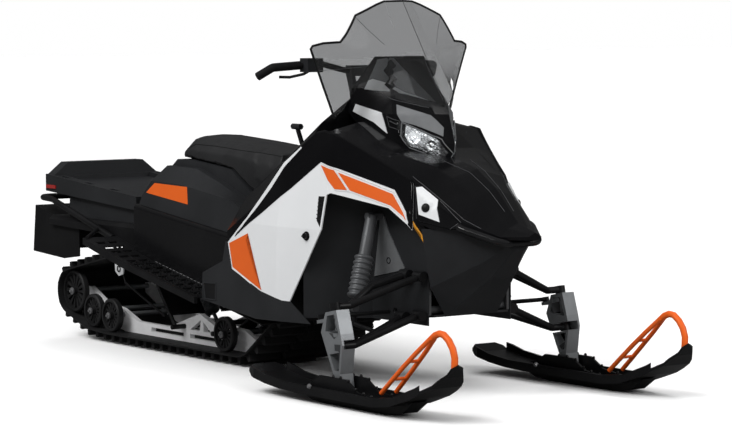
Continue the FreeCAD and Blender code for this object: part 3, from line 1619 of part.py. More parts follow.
def windshield():
    """A thin folded screen with a peak, two notched shoulders and side ears."""
    body = new_body("windshield")
    sections = []
    for z, centre, crease, edge in (("glass_low_z", "glass_low_x", "glass_low_x - glass_low_fold",
                                     "glass_edge_x - glass_edge_drift"),
                                    ("glass_high_z", "glass_high_x", "glass_high_x - glass_high_fold",
                                     "glass_edge_x")):
        front = [(edge, "glass_ear_y + cut_over / 6"), (crease, "glass_crease_y"), (centre, "0")]
        front += [(x, f"-({y})") for x, y in reversed(front[:-1])]
        back = [(f"{x} - glass_thickness * sqrt(2)", y) for x, y in reversed(front)]
        sections.append(outline(body, "top", front + back, z))
    loft(body, sections)
    half = spread(GLASS_SHARES, ("0", "glass_low_z"), ("glass_ear_y", "glass_top_z"))
    trim(body, "front", half + [(f"-({y})", z) for y, z in reversed(half[1:-1])])
    return body


NOSE_PLATE_SHARES = [
    (0.04, 0.987), (0.467, 0.553), (0.995, 0.171), (0.995, 0.053), (0.844, 0.026),
    (0.191, 0.197),
]


def nose_plates():
    """Flush plates on the hood's cheeks, ahead of the side panels."""
    return pair("nose_plates", skin("nose_plate_left",
                                    spread(NOSE_PLATE_SHARES, ("nose_plate_rear_x", "belly_top_z"),
                                           ("hood_cheek_x", "nose_plate_top_z"))))


def front_bumper():
    route = [
        ("nose_tube_rear_x", "nose_tube_rear_y", "nose_tube_rear_z"),
        ("nose_tube_mid_x", "nose_tube_mid_y", "nose_tube_mid_z"),
        ("nose_tube_front_x", "nose_tube_half", "nose_tube_front_z"),
    ]
    return tube("front_bumper_form", flipped(route), "nose_tube_radius", "nose_tube_bend")


def gear_lever(console_solid):
    lean = ("lever_x", "-lever_y - lever_lean", "lever_top_z")
    stem = rod("lever_stem", "lever_radius", ("lever_x", "-lever_y", "lever_base_z - cut_over"), lean)
    knob = rod("lever_knob", "knob_radius", ("lever_x - knob_half", "-lever_y - lever_lean", "lever_top_z"),
               ("lever_x + knob_half", "-lever_y - lever_lean", "lever_top_z"))
    return cut("gear_lever", fused("lever_form", [stem, knob]), console_solid)


# Front suspension

def arm(label, level, inner):
    """An A-arm: an eye about the kingpin, a stub inboard and tubes to the inner eyes."""
    half = "arm_eye_height / 2"
    eye = rod(label + "_eye", "arm_eye_radius", along_kingpin("0", f"{level} - {half}"),
              along_kingpin("0", f"{level} + {half}"))
    end = along_kingpin("0", level, "-stub_length")
    pieces = [eye, rod(label + "_stub", "arm_tube", along_kingpin("0", level), end)]
    for route in inner:
        last = route[-1]
        pieces.append(tube(label + "_tube", [end] + route, "arm_tube",
                           "arm_bend") if len(route) > 1 else rod(label + "_tube", "arm_tube", end, last))
        pieces.append(rod(label + "_bush", "arm_eye_radius",
                          (f"{last[0]} - arm_bush_half", last[1], last[2]),
                          (f"{last[0]} + arm_bush_half", last[1], last[2])))
    bore = rod(label + "_bore", "king_stud_radius + seat_gap",
               along_kingpin("0", f"{level} - arm_eye_height"),
               along_kingpin("0", f"{level} + arm_eye_height"))
    return pieces, bore


def arm_in_y():
    return "plate_y + seat_gap * 2 + liner_wall + arm_eye_radius"


def upper_arms():
    inner = [
        [("upper_arm_front_x", arm_in_y(), "upper_arm_in_z")],
        [("upper_arm_knee_x", "upper_arm_knee_y", "upper_arm_knee_z"),
         ("upper_arm_rear_x", arm_in_y(), "upper_arm_in_z")],
    ]
    pieces, bore = arm("upper_arm", "spindle_top_w + tie_clearance / 4 + arm_eye_height / 2", inner)
    return pair("upper_arms", cut("upper_arm_left", fused("upper_arm_form", pieces), bore))


def lower_arms():
    inner = [
        [("lower_arm_front_x", arm_in_y(), "lower_arm_in_z")],
        [("lower_arm_rear_x", arm_in_y(), "lower_arm_in_z - arm_tube")],
    ]
    pieces, bore = arm("lower_arm", "0", inner)
    perch_z = "shock_low_z - shock_eye_radius - seat_gap"
    floor_z = "lower_arm_in_z - arm_tube * 3"
    pieces.append(rod("shock_perch", "shock_rod", ("shock_low_x", "shock_low_y", floor_z),
                      ("shock_low_x", "shock_low_y", perch_z)))
    pieces.append(rod("shock_perch_bar", "shock_rod", ("shock_low_x", "shock_low_y", floor_z),
                      ("perch_x", "shock_low_y", "perch_z")))
    return pair("lower_arms", cut("lower_arm_left", fused("lower_arm_form", pieces), bore))


def front_shocks():
    coil = damper("front_shock_coil", ("shock_top_x", "shock_top_y", "shock_top_z"),
                  ("shock_low_x", "shock_low_y", "shock_low_z"), "shock_can",
                  "shock_rod", "spring_radius", 8, 0.44, 0.9)
    foot = rod("front_shock_foot", "shock_eye_radius",
               ("shock_low_x - shock_rod", "shock_low_y", "shock_low_z"),
               ("shock_low_x + shock_rod", "shock_low_y", "shock_low_z"))
    pin = rod("front_shock_pin", "shock_eye_radius",
              ("shock_top_x", "plate_y + seat_gap * 2 + liner_wall", "shock_top_z"),
              ("shock_top_x", "shock_top_y + shock_can", "shock_top_z"))
    left = fused("front_shock_left", [coil, foot, pin])
    left.Refine = False
    return pair("front_shocks", left)


# Steered parts of the left side, each with a twin on the right

SPINDLE_SHARES = [
    (0.35, 1), (0.908, 1), (0.983, 0.633), (1, 0.46), (0.717, 0.051), (0.7, -0.16),
    (0.4, -0.16), (0.383, 0.051), (0, 0.726), (0.25, 0.928),
]
SPINDLE_WINDOW_SHARES = [
    [
    (0.4, 0.945), (0.767, 0.945), (0.867, 0.633), (0.233, 0.726),
],
    [
    (0.3, 0.371), (0.833, 0.371), (0.65, 0.118), (0.467, 0.118),
],
]


def spindles():
    """A cast upright, hollowed by windows, with a slot for the lower arm's eye and a steering arm."""
    body = new_body("spindle_left")
    base, top = ("-spindle_rear_u", "-spindle_low_w"), ("spindle_front_u", "spindle_top_w")
    pad(body, outline(body, "side", spread(SPINDLE_SHARES, base, top)), "spindle_width")
    arm_points = [("-king_stud_radius * 3", "steer_arm_w - steer_arm_thickness"),
                  ("-king_stud_radius * 3", "steer_arm_w"), ("-steer_arm - tie_end_radius", "steer_arm_w"),
                  ("-steer_arm - tie_end_radius", "steer_arm_w - steer_arm_thickness")]
    pad(body, outline(body, "side", arm_points), "tie_end_radius * 2")
    for shares in SPINDLE_WINDOW_SHARES:
        pocket(body, outline(body, "side", spread(shares, base, top)), "spindle_width * 2")
    notch = [("-spindle_rear_u - cut_over", "-notch_half"), ("spindle_front_u + cut_over", "-notch_half"),
             ("spindle_front_u + cut_over", "notch_half"),
             ("-spindle_rear_u - cut_over", "notch_half")]
    pocket(body, outline(body, "side", notch, "-(spindle_width / 2 - spindle_wall)"), "spindle_width * 2",
           "along")
    stud = new_sketch(body, "top", "-notch_half - spindle_wall")
    add_circle(stud, "0", "0", "king_stud_radius")
    pad(body, stud, "spindle_top_w + arm_eye_height + notch_half + spindle_wall", "along")
    hole = new_sketch(body, "side")
    add_circle(hole, "0", "-ski_pin_w", "ski_pivot_radius + seat_gap")
    pocket(body, hole, "spindle_width * 2")
    body.Placement = Placement(at("kingpin_x", "stance_half", "kingpin_z"),
                               Rotation(Vector(0, 1, 0), -size("kingpin_rake")))
    return body, mirrored("spindle_right", body)


SKI_SOLE_SHARES = [
    (0, 0.337), (0.034, 0.181), (0.115, 0.084), (0.2, 0.024), (0.303, 0), (0.68, 0),
    (0.766, 0.072), (0.866, 0.301), (0.946, 0.566), (0.985, 0.807), (1, 1),
]
SKI_PLAN_SHARES = [
    (0, 0.23), (0.015, 0.073), (0.055, 0), (0.8, 0), (0.903, 0.051), (0.963, 0.185),
    (0.994, 0.354), (1, 0.5), (0.994, 0.646), (0.963, 0.815), (0.903, 0.949), (0.8, 1),
    (0.055, 1), (0.015, 0.927), (0, 0.77),
]
SKI_KEEL_SHARES = [
    (0.218, 0.036), (0.303, -0.145), (0.372, -0.181), (0.68, -0.181), (0.766, -0.096),
    (0.826, 0.181), (0.68, 0.036), (0.338, 0.036),
]
SKI_CHANNEL_SHARES = [
    (0.166, 0.084), (0.303, 0.181), (0.363, 0.422), (0.5, 0.422), (0.56, 0.193),
    (0.672, 0.096), (0.663, 0.036), (0.183, 0.048),
]
SKI_RAIL_SHARES = [
    (0.029, 0.217), (0.029, 0.422), (0.115, 0.277), (0.218, 0.205), (0.68, 0.193),
    (0.783, 0.277), (0.886, 0.554), (0.937, 0.735), (0.937, 0.53), (0.866, 0.325),
    (0.766, 0.096), (0.68, 0.024), (0.303, 0.024), (0.2, 0.048), (0.115, 0.108),
]


def skis():
    """A curved sole with a keel below, raised edge rails and a channel for the spindle's foot."""
    body = new_body("ski_left")
    base, tip = ("ski_tail_x", "ski_edge_z"), ("nose_x", "ski_tip_z")
    level = "-stance_half"
    sole = spread(SKI_SOLE_SHARES, base, tip)
    sole += [(x, f"{z} + ski_sole") for x, z in reversed(sole)]
    pad(body, outline(body, "side", sole, level), "ski_width")
    pad(body, outline(body, "side", spread(SKI_KEEL_SHARES, base, tip), level), "ski_keel_half * 2")
    rails = spread(SKI_RAIL_SHARES, base, tip)
    pad(body, outline(body, "side", rails, f"{level} - ski_width / 2 + ski_channel_wall / 2"),
        "ski_channel_wall")
    pad(body, outline(body, "side", rails, f"{level} + ski_width / 2 - ski_channel_wall / 2"),
        "ski_channel_wall")
    channel = spread(SKI_CHANNEL_SHARES, base, tip)
    pad(body, outline(body, "side", channel, f"{level} - ski_channel_half + ski_channel_wall / 2"),
        "ski_channel_wall")
    pad(body, outline(body, "side", channel, f"{level} + ski_channel_half - ski_channel_wall / 2"),
        "ski_channel_wall")
    trim(body, "top", spread(SKI_PLAN_SHARES, ("ski_tail_x", "stance_half - ski_width / 2"),
                             ("nose_x", "stance_half + ski_width / 2")), "nose_x * 3")
    pin = new_sketch(body, "side", level)
    place = along_kingpin("0", "-ski_pin_w")
    add_circle(pin, place[0], place[2], "ski_pivot_radius")
    pad(body, pin, "ski_channel_half * 2")
    return body, mirrored("ski_right", body)


def ski_loops(ski):
    """Twin tubes over the ski's tip, tied like a ladder, ending on the ski."""
    tubes = []
    for side in ("-", "+"):
        y = f"stance_half {side} loop_spread"
        route = [("loop_base_x", y, "loop_base_z"), ("loop_back_x", y, "loop_back_z"),
                 ("loop_top_x", y, "loop_top_z"), ("loop_front_x", y, "loop_front_z"),
                 ("loop_foot_x", y, "loop_foot_z")]
        tubes.append(tube("ski_loop_strut", route, "loop_radius", "loop_bend"))
    for share in LOOP_TIE_SHARES:
        x = between("loop_base_x", "loop_back_x", share)
        z = between("loop_base_z", "loop_back_z", share)
        tubes.append(rod("ski_loop_tie", "loop_radius * 0.8", (x, "stance_half - loop_spread", z),
                         (x, "stance_half + loop_spread", z)))
    tubes.append(rod("ski_loop_tie", "loop_radius * 0.8",
                     ("loop_front_x", "stance_half - loop_spread", "loop_front_z"),
                     ("loop_front_x", "stance_half + loop_spread", "loop_front_z")))
    left = cut("ski_loop_left", fused("ski_loop_form", tubes), ski)
    return left, mirrored("ski_loop_right", left)


LOOP_TIE_SHARES = (0.25, 0.45, 0.65, 0.85)


def tie_rods():
    level = "steer_arm_w + tie_gap"
    middle = "steer_arm_w + tie_gap + tie_end_height / 2"
    end = rod("tie_rod_end", "tie_end_radius", along_kingpin("-steer_arm", level),
              along_kingpin("-steer_arm", f"{level} + tie_end_height"))
    x, y, z = along_kingpin("-steer_arm", middle)
    shaft = rod("tie_rod_shaft", "tie_rod_radius", (x, y, z), (x, "tie_rod_inner_y", z))
    left = fused("tie_rod_left", [end, shaft])
    return left, mirrored("tie_rod_right", left)


# Handlebar

def bar_route():
    shoulder = ("post_bar_x", "bar_shoulder_y", "bar_z")
    rise = ("post_bar_x + bar_sweep / 2", "bar_rise_y", "bar_z + bar_rise")
    hand = ("post_bar_x - bar_sweep * 1.5", "grip_end_y", "bar_z + bar_rise / 2")
    share = part_way("grip_start_y", "bar_rise_y", "grip_end_y")
    start = tuple(between(rise[k], hand[k], share) for k in range(len(rise)))
    return shoulder, rise, start, hand


def handlebar():
    shoulder, rise, start, hand = bar_route()
    return tube("handlebar", flipped([start, rise, shoulder]), "bar_radius", "grip_bend")


def grips():
    shoulder, rise, start, hand = bar_route()
    hook = ("post_bar_x - bar_sweep * 1.5 - hook_sweep", "hook_y", "bar_z + bar_rise / 2 - hook_drop")
    return pair("grips", tube("grip_left", [start, hand, hook], "grip_radius", "grip_bend / 2"))


def bar_controls(bar):
    shoulder, rise, start, hand = bar_route()
    low = (f"{rise[0]} - control_half", "control_inner_y", f"{rise[2]} - control_half * 1.2")
    high = (f"{rise[0]} + control_half", "control_outer_y", f"{rise[2]} + control_half * 0.8")
    left = box("bar_control_form", low, high)
    return cut("bar_controls", pair("bar_control_pair", left), bar)


def bar_riser(bar):
    body = new_body("bar_riser_form")
    low = "bar_z - riser_drop"
    points = [("-riser_half_low", low), ("riser_half_low", low), ("riser_half_top", "bar_z - bar_radius"),
              ("riser_half_top", "bar_z + bar_radius * 1.6"),
              ("-riser_half_top", "bar_z + bar_radius * 1.6"), ("-riser_half_top", "bar_z - bar_radius")]
    pad(body, outline(body, "front", points, "post_bar_x"), "riser_depth")
    window = [("-riser_half_low * 0.4", f"{low} + bar_radius * 2"),
              ("riser_half_low * 0.4", f"{low} + bar_radius * 2"),
              ("riser_half_top * 0.6", "bar_z - bar_radius * 2"),
              ("-riser_half_top * 0.6", "bar_z - bar_radius * 2")]
    pocket(body, outline(body, "front", window, "post_bar_x"), "riser_depth * 2")
    return cut("bar_riser", body, bar)


def steering_post(riser):
    post = rod("steering_post_form", "post_radius", post_point("post_bore_gap - post_depth"),
               post_point("riser_half_low"))
    return cut("steering_post", post, riser)


def build():
    tunnel_part, boards, bumper = tunnel(), running_boards(), rear_bumper()
    axles = wheel_axles()
    wheels = bogie_wheels()
    arms = suspension_arms(axles, wheels)
    panel_left, panel_right = side_panels()
    pod, belly = lamp_pod(), belly_pan()
    lamps = headlamps(pod)
    hood_part = cut("hood", hood(), together("hood_seats", [pod, lamps, belly, panel_left, panel_right]))
    console_part, nose = console(), nose_plates()
    bar = handlebar()
    riser = bar_riser(bar)
    ski_left, ski_right = skis()
    return [
        track(), wheels, idler_wheels(), drive_axle(), axles, slide_rails(), arms,
            track_shocks(together("track_shock_seats", [arms, axles])),
        tunnel_part, boards, tunnel_covers(), bumper, board_braces(bumper, boards), cargo_deck(),
            tail_lamps(),
        snow_flap(), tow_hitch(), bulkhead(), engine_block(), belly, panel_left, panel_right, *footwells(),
        arch_liners(panel_left), console_part, seat_cushion(), seat_base(), *side_fairings(), hood_part,
            pod, lamps,
        windshield(), nose, cut("front_bumper", front_bumper(),
                                together("bumper_seats", [hood_part, nose])), gear_lever(console_part),
        upper_arms(), lower_arms(), front_shocks(), *spindles(), ski_left, ski_right, *ski_loops(ski_left),
            *tie_rods(),
        bar, grips(), bar_controls(bar), riser, steering_post(riser),
    ]


def check(parts):
    doc.recompute()
    for item in doc.Objects:
        if "Invalid" in item.State or "Error" in item.State:
            raise RuntimeError(f"{item.Name} did not build: {item.State}")
    for part in parts:
        if part.Shape.isNull() or not part.Shape.isValid() or not part.Shape.Solids:
            raise RuntimeError(f"{part.Label} has no sound shape")


def write(parts):
    os.makedirs("parts", exist_ok=True)
    for part in parts:
        part.Shape.exportStep(f"parts/{part.Label}.step")


PARTS = build()
check(PARTS)
write(PARTS)
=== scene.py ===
import math

import bmesh
import bpy
from mathutils import Matrix, Vector
from mathutils.bvhtree import BVHTree
from mathutils.geometry import tessellate_polygon


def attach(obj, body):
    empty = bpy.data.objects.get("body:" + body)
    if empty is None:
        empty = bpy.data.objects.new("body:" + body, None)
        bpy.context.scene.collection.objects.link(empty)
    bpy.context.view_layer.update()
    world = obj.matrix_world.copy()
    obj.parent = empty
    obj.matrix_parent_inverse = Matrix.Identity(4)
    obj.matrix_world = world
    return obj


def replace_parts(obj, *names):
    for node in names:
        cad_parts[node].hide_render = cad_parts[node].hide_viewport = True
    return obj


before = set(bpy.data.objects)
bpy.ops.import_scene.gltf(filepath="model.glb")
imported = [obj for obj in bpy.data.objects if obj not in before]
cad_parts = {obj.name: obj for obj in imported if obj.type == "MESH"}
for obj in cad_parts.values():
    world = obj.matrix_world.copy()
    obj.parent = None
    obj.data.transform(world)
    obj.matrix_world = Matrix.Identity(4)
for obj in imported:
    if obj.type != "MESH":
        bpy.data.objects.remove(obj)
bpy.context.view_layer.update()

# Studio: a pale floor under a soft sky that is brighter overhead, with three soft suns.
# Two panels give the long highlights on glossy faces. The camera stands at the front right of the machine,
# a little above seat height, with a long lens.

CAMERA_PLACE = (9.22794, -6.33109, 1.40750)
CAMERA_RIGHT = (0.58437822, 0.81147851, -0.002172)
CAMERA_UP = (-0.05811903, 0.04452326, 0.99731633)
CAMERA_BACK = (0.80939748, -0.5826837, 0.07318077)
CAMERA_LENS = 141.364
FLOOR_HALF = 60
FLOOR_PALE = 1.0
FLOOR_BOUNCE = 0.42
FLOOR_SHINE = 0.1
SKY_LOW = 0.1
SKY_HIGH = 0.5
SKY_SHINE = 0.35
SUNS = {
    # name: direction it comes from, strength, softness in degrees
    "key_light": ((0.15, -0.85, 0.95), 1.65, 40),
    "front_light": ((1.0, -0.15, 0.5), 0.6, 30),
    "rear_light": ((-0.7, 0.5, 0.8), 1.0, 25),
}
PANELS = {
    # name: place in metres, width and depth in metres, power
    "side_panel_light": ((-0.2, -4.6, 4.4), (5.0, 1.0), 120),
    "front_panel_light": ((5.2, 2.4, 3.4), (1.0, 2.4), 90),
}
PANEL_AIM = (0.4, 0, 0.7)

camera = bpy.data.objects.new("photo_camera", bpy.data.cameras.new("photo_camera"))
camera.data.sensor_width = 36
camera.data.lens = CAMERA_LENS
camera.data.clip_end = 200
turn = Matrix((CAMERA_RIGHT, CAMERA_UP, CAMERA_BACK)).transposed()
camera.matrix_world = Matrix.Translation(CAMERA_PLACE) @ turn.to_4x4()
bpy.context.scene.collection.objects.link(camera)
bpy.context.scene.camera = camera
bpy.context.scene.view_settings.view_transform = "Standard"


def wire(tree, output, socket):
    """Joins one node's output to another's input."""
    tree.links.new(output, socket)


def seen_directly(tree):
    """One for what the camera sees, straight or through glass."""
    path = tree.nodes.new("ShaderNodeLightPath")
    shows = tree.nodes.new("ShaderNodeMath")
    shows.operation = "MAXIMUM"
    wire(tree, path.outputs["Is Camera Ray"], shows.inputs[0])
    wire(tree, path.outputs["Is Transmission Ray"], shows.inputs[1])
    return shows.outputs[0]


def studio_world():
    """Plain backdrop for the camera, dimmer and graded sky for the light, dimmer still in reflections."""
    world = bpy.data.worlds.new("studio_world")
    bpy.context.scene.world = world
    world.use_nodes = True
    tree = world.node_tree
    tree.nodes.clear()
    place = tree.nodes.new("ShaderNodeTexCoord")
    split = tree.nodes.new("ShaderNodeSeparateXYZ")
    wire(tree, place.outputs["Generated"], split.inputs[0])
    rise = tree.nodes.new("ShaderNodeMapRange")
    rise.inputs["To Min"].default_value = SKY_LOW
    rise.inputs["To Max"].default_value = SKY_HIGH
    wire(tree, split.outputs["Z"], rise.inputs["Value"])
    path = tree.nodes.new("ShaderNodeLightPath")
    shine = tree.nodes.new("ShaderNodeMapRange")
    shine.inputs["To Min"].default_value = 1
    shine.inputs["To Max"].default_value = SKY_SHINE
    wire(tree, path.outputs["Is Glossy Ray"], shine.inputs["Value"])
    level = tree.nodes.new("ShaderNodeMath")
    level.operation = "MULTIPLY"
    wire(tree, rise.outputs["Result"], level.inputs[0])
    wire(tree, shine.outputs["Result"], level.inputs[1])
    sky = tree.nodes.new("ShaderNodeBackground")
    sky.inputs["Color"].default_value = (1, 1, 1, 1)
    wire(tree, level.outputs[0], sky.inputs["Strength"])
    backdrop = tree.nodes.new("ShaderNodeBackground")
    backdrop.inputs["Color"].default_value = (1, 1, 1, 1)
    backdrop.inputs["Strength"].default_value = 1
    choice = tree.nodes.new("ShaderNodeMixShader")
    wire(tree, seen_directly(tree), choice.inputs["Fac"])
    wire(tree, sky.outputs[0], choice.inputs[1])
    wire(tree, backdrop.outputs[0], choice.inputs[2])
    end = tree.nodes.new("ShaderNodeOutputWorld")
    wire(tree, choice.outputs[0], end.inputs["Surface"])


def floor_finish():
    """Matt floor, paler to the camera than in the light that it sends back."""
    finish = bpy.data.materials.new("studio_floor")
    finish.use_nodes = True
    tree = finish.node_tree
    tree.nodes.clear()
    path = tree.nodes.new("ShaderNodeLightPath")
    sent = tree.nodes.new("ShaderNodeMix")
    sent.data_type = "RGBA"
    sent.inputs["A"].default_value = (FLOOR_BOUNCE, FLOOR_BOUNCE, FLOOR_BOUNCE, 1)
    sent.inputs["B"].default_value = (FLOOR_SHINE, FLOOR_SHINE, FLOOR_SHINE, 1)
    wire(tree, path.outputs["Is Glossy Ray"], sent.inputs["Factor"])
    bounce = tree.nodes.new("ShaderNodeBsdfDiffuse")
    wire(tree, sent.outputs["Result"], bounce.inputs["Color"])
    pale = tree.nodes.new("ShaderNodeBsdfDiffuse")
    pale.inputs["Color"].default_value = (FLOOR_PALE, FLOOR_PALE, FLOOR_PALE, 1)
    choice = tree.nodes.new("ShaderNodeMixShader")
    wire(tree, seen_directly(tree), choice.inputs["Fac"])
    wire(tree, bounce.outputs[0], choice.inputs[1])
    wire(tree, pale.outputs[0], choice.inputs[2])
    end = tree.nodes.new("ShaderNodeOutputMaterial")
    wire(tree, choice.outputs[0], end.inputs["Surface"])
    return finish


studio_world()
floor_form = bmesh.new()
bmesh.ops.create_grid(floor_form, x_segments=1, y_segments=1, size=FLOOR_HALF)
floor_mesh = bpy.data.meshes.new("studio_floor")
floor_form.to_mesh(floor_mesh)
floor_form.free()
floor = bpy.data.objects.new("studio_floor", floor_mesh)
bpy.context.scene.collection.objects.link(floor)
floor_mesh.materials.append(floor_finish())

for light_name, (direction, strength, softness) in SUNS.items():
    light = bpy.data.lights.new(light_name, "SUN")
    light.energy = strength
    light.angle = math.radians(softness)
    lamp = bpy.data.objects.new(light_name, light)
    lamp.rotation_euler = Vector(direction).to_track_quat("Z", "Y").to_euler()
    lamp.visible_glossy = False
    bpy.context.scene.collection.objects.link(lamp)

for light_name, (place, (width, depth), power) in PANELS.items():
    light = bpy.data.lights.new(light_name, "AREA")
    light.shape = "RECTANGLE"
    light.size = width
    light.size_y = depth
    light.energy = power
    lamp = bpy.data.objects.new(light_name, light)
    lamp.location = place
    lamp.rotation_euler = (Vector(place) - Vector(PANEL_AIM)).to_track_quat("Z", "Y").to_euler()
    lamp.visible_camera = False
    lamp.visible_transmission = False
    bpy.context.scene.collection.objects.link(lamp)


# Tunnel, boards and arms: folded aluminium sheet and steel tube under satin black powder coat.
# The coat has a fine spray grain, and boots and snow have dulled it in soft patches.

BLACK_PAINT = (0.0045, 0.0045, 0.005)
BLACK_PAINT_WORN = (0.011, 0.011, 0.0118)


def surface_wear():
    """Soft clouds over the surface, as a colour between clean and worn, and a mask."""
    group = bpy.data.node_groups.new("surface_wear", "ShaderNodeTree")
    for name, kind, value in (("Clean", "NodeSocketColor", None), ("Worn", "NodeSocketColor", None),
                              ("Size", "NodeSocketFloat", 6.0), ("Amount", "NodeSocketFloat", 0.5)):
        socket = group.interface.new_socket(name=name, in_out="INPUT", socket_type=kind)
        if value is not None:
            socket.default_value = value
    group.interface.new_socket(name="Color", in_out="OUTPUT", socket_type="NodeSocketColor")
    group.interface.new_socket(name="Mask", in_out="OUTPUT", socket_type="NodeSocketFloat")
    given = group.nodes.new("NodeGroupInput")
    result = group.nodes.new("NodeGroupOutput")
    place = group.nodes.new("ShaderNodeTexCoord")
    cloud = group.nodes.new("ShaderNodeTexNoise")
    cloud.inputs["Detail"].default_value = 6
    cloud.inputs["Roughness"].default_value = 0.62
    wire(group, place.outputs["Object"], cloud.inputs["Vector"])
    wire(group, given.outputs["Size"], cloud.inputs["Scale"])
    spread = group.nodes.new("ShaderNodeMapRange")
    spread.inputs["From Min"].default_value = 0.42
    spread.inputs["From Max"].default_value = 0.72
    wire(group, cloud.outputs["Fac"], spread.inputs["Value"])
    share = group.nodes.new("ShaderNodeMath")
    share.operation = "MULTIPLY"
    wire(group, spread.outputs["Result"], share.inputs[0])
    wire(group, given.outputs["Amount"], share.inputs[1])
    mix = group.nodes.new("ShaderNodeMix")
    mix.data_type = "RGBA"
    wire(group, share.outputs[0], mix.inputs["Factor"])
    wire(group, given.outputs["Clean"], mix.inputs["A"])
    wire(group, given.outputs["Worn"], mix.inputs["B"])
    wire(group, mix.outputs["Result"], result.inputs["Color"])
    wire(group, share.outputs[0], result.inputs["Mask"])
    return group


def fine_grain():
    """The height of a moulded or sprayed grain, finer or coarser by its size."""
    group = bpy.data.node_groups.new("fine_grain", "ShaderNodeTree")
    socket = group.interface.new_socket(name="Size", in_out="INPUT", socket_type="NodeSocketFloat")
    socket.default_value = 300
    group.interface.new_socket(name="Height", in_out="OUTPUT", socket_type="NodeSocketFloat")
    given = group.nodes.new("NodeGroupInput")
    result = group.nodes.new("NodeGroupOutput")
    place = group.nodes.new("ShaderNodeTexCoord")
    cells = group.nodes.new("ShaderNodeTexVoronoi")
    cells.feature = "SMOOTH_F1"
    cells.inputs["Smoothness"].default_value = 0.6
    wire(group, place.outputs["Object"], cells.inputs["Vector"])
    wire(group, given.outputs["Size"], cells.inputs["Scale"])
    wire(group, cells.outputs["Distance"], result.inputs["Height"])
    return group


WEAR = surface_wear()
GRAIN = fine_grain()


def new_finish(name, clean, worn, roughness, grain=400, height=0.0002, clouds=6, wear=0.6, metallic=0.0,
               coat=0.0, specular=0.5):
    """A painted, moulded or cast finish: colour and gloss shift with wear, and the grain stands up.

    Grain and clouds are how many there are to the metre, height is the grain's in metres.
    """
    finish = bpy.data.materials.new(name)
    finish.use_nodes = True
    tree = finish.node_tree
    shader = tree.nodes["Principled BSDF"]
    shader.inputs["Metallic"].default_value = metallic
    shader.inputs["Coat Weight"].default_value = coat
    shader.inputs["Coat Roughness"].default_value = 0.08
    shader.inputs["Specular IOR Level"].default_value = specular
    tone = tree.nodes.new("ShaderNodeGroup")
    tone.node_tree = WEAR
    tone.inputs["Clean"].default_value = (*clean, 1)
    tone.inputs["Worn"].default_value = (*worn, 1)
    tone.inputs["Size"].default_value = clouds
    tone.inputs["Amount"].default_value = wear
    wire(tree, tone.outputs["Color"], shader.inputs["Base Color"])
    gloss = tree.nodes.new("ShaderNodeMapRange")
    gloss.inputs["To Min"].default_value = roughness
    gloss.inputs["To Max"].default_value = min(1.0, roughness * 1.35)
    wire(tree, tone.outputs["Mask"], gloss.inputs["Value"])
    wire(tree, gloss.outputs["Result"], shader.inputs["Roughness"])
    pattern = tree.nodes.new("ShaderNodeGroup")
    pattern.node_tree = GRAIN
    pattern.inputs["Size"].default_value = grain
    bump = tree.nodes.new("ShaderNodeBump")
    bump.inputs["Distance"].default_value = height
    bump.inputs["Strength"].default_value = 0.6
    wire(tree, pattern.outputs["Height"], bump.inputs["Height"])
    wire(tree, bump.outputs["Normal"], shader.inputs["Normal"])
    return finish


def dress(finish, *nodes):
    """Gives CAD nodes their finish."""
    for name in nodes:
        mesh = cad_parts[name].data
        mesh.materials.clear()
        mesh.materials.append(finish)


powder_black = new_finish(
    "powder_black", BLACK_PAINT, BLACK_PAINT_WORN,
    roughness=0.4, grain=900, height=0.00012, clouds=5, wear=0.7, specular=0.3)
dress(powder_black, "tunnel", "running_boards", "rear_bumper", "board_braces", "tow_hitch",
      "upper_arms", "lower_arms", "suspension_arms", "handlebar", "steering_post", "tie_rod_left",
      "tie_rod_right")
bumper_black = new_finish(
    "bumper_black", BLACK_PAINT, BLACK_PAINT_WORN,
    roughness=0.18, grain=900, height=0.00006, clouds=5, wear=0.6, specular=0.6)
dress(bumper_black, "front_bumper")
zinc = new_finish(
    "zinc_plate", (0.42, 0.42, 0.43), (0.3, 0.3, 0.31),
    roughness=0.3, grain=900, height=0.0001, clouds=30, wear=0.6, metallic=0.8)

# Board treads: the running boards are pressed from sheet, with rows of raised teeth between the snow holes.
# A bright grey bar along each board's outer edge is a painted highlight.

BOARD_EDGE = [(50, 256), (-51, 280), (-209, 317), (-416, 372), (-600, 381)]
TOOTH_ROWS = (300, 330, 360, 390, 415)
TOOTH_PITCH = 26
TOOTH_COUNT = (-23, 2)
TOOTH_HEIGHT = 7
TOOTH_FOOT = 1
TOOTH_HALF = 4
TOOTH_TAPER = 0.35
EDGE_RADIUS = 2.2


def mm(x, y, z):
    """A place in metres from a place in mm."""
    return Vector((x, y, z)) / 1000


def skin_of(*nodes):
    """The faces of CAD nodes, for finding places on them."""
    form = bmesh.new()
    for name in nodes:
        form.from_mesh(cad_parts[name].data)
    faces = BVHTree.FromBMesh(form)
    form.free()
    return faces


def outer_place(skin, x, z, side, lift=0.0):
    """The place that shows at x, z from the machine's left or right, stood off by a lift, all in mm."""
    hit, normal, _, _ = skin.ray_cast(mm(x, side * 1500, z), Vector((0, -side, 0)))
    if hit is None:
        hit, normal, _, _ = skin.find_nearest(mm(x, side * 300, z))
    if normal.y * side < 0:
        normal = -normal
    return hit + normal * lift / 1000


def laid_along(skin, route, side, lift=0.0, step=14):
    """Places on the skin along a route drawn in the side view."""
    places = []
    for (x0, z0), (x1, z1) in zip(route, route[1:]):
        count = max(1, round(math.hypot(x1 - x0, z1 - z0) / step))
        for k in range(count):
            x, z = x0 + (x1 - x0) * k / count, z0 + (z1 - z0) * k / count
            places.append(outer_place(skin, x, z, side, lift=lift))
    places.append(outer_place(skin, *route[-1], side, lift=lift))
    return places


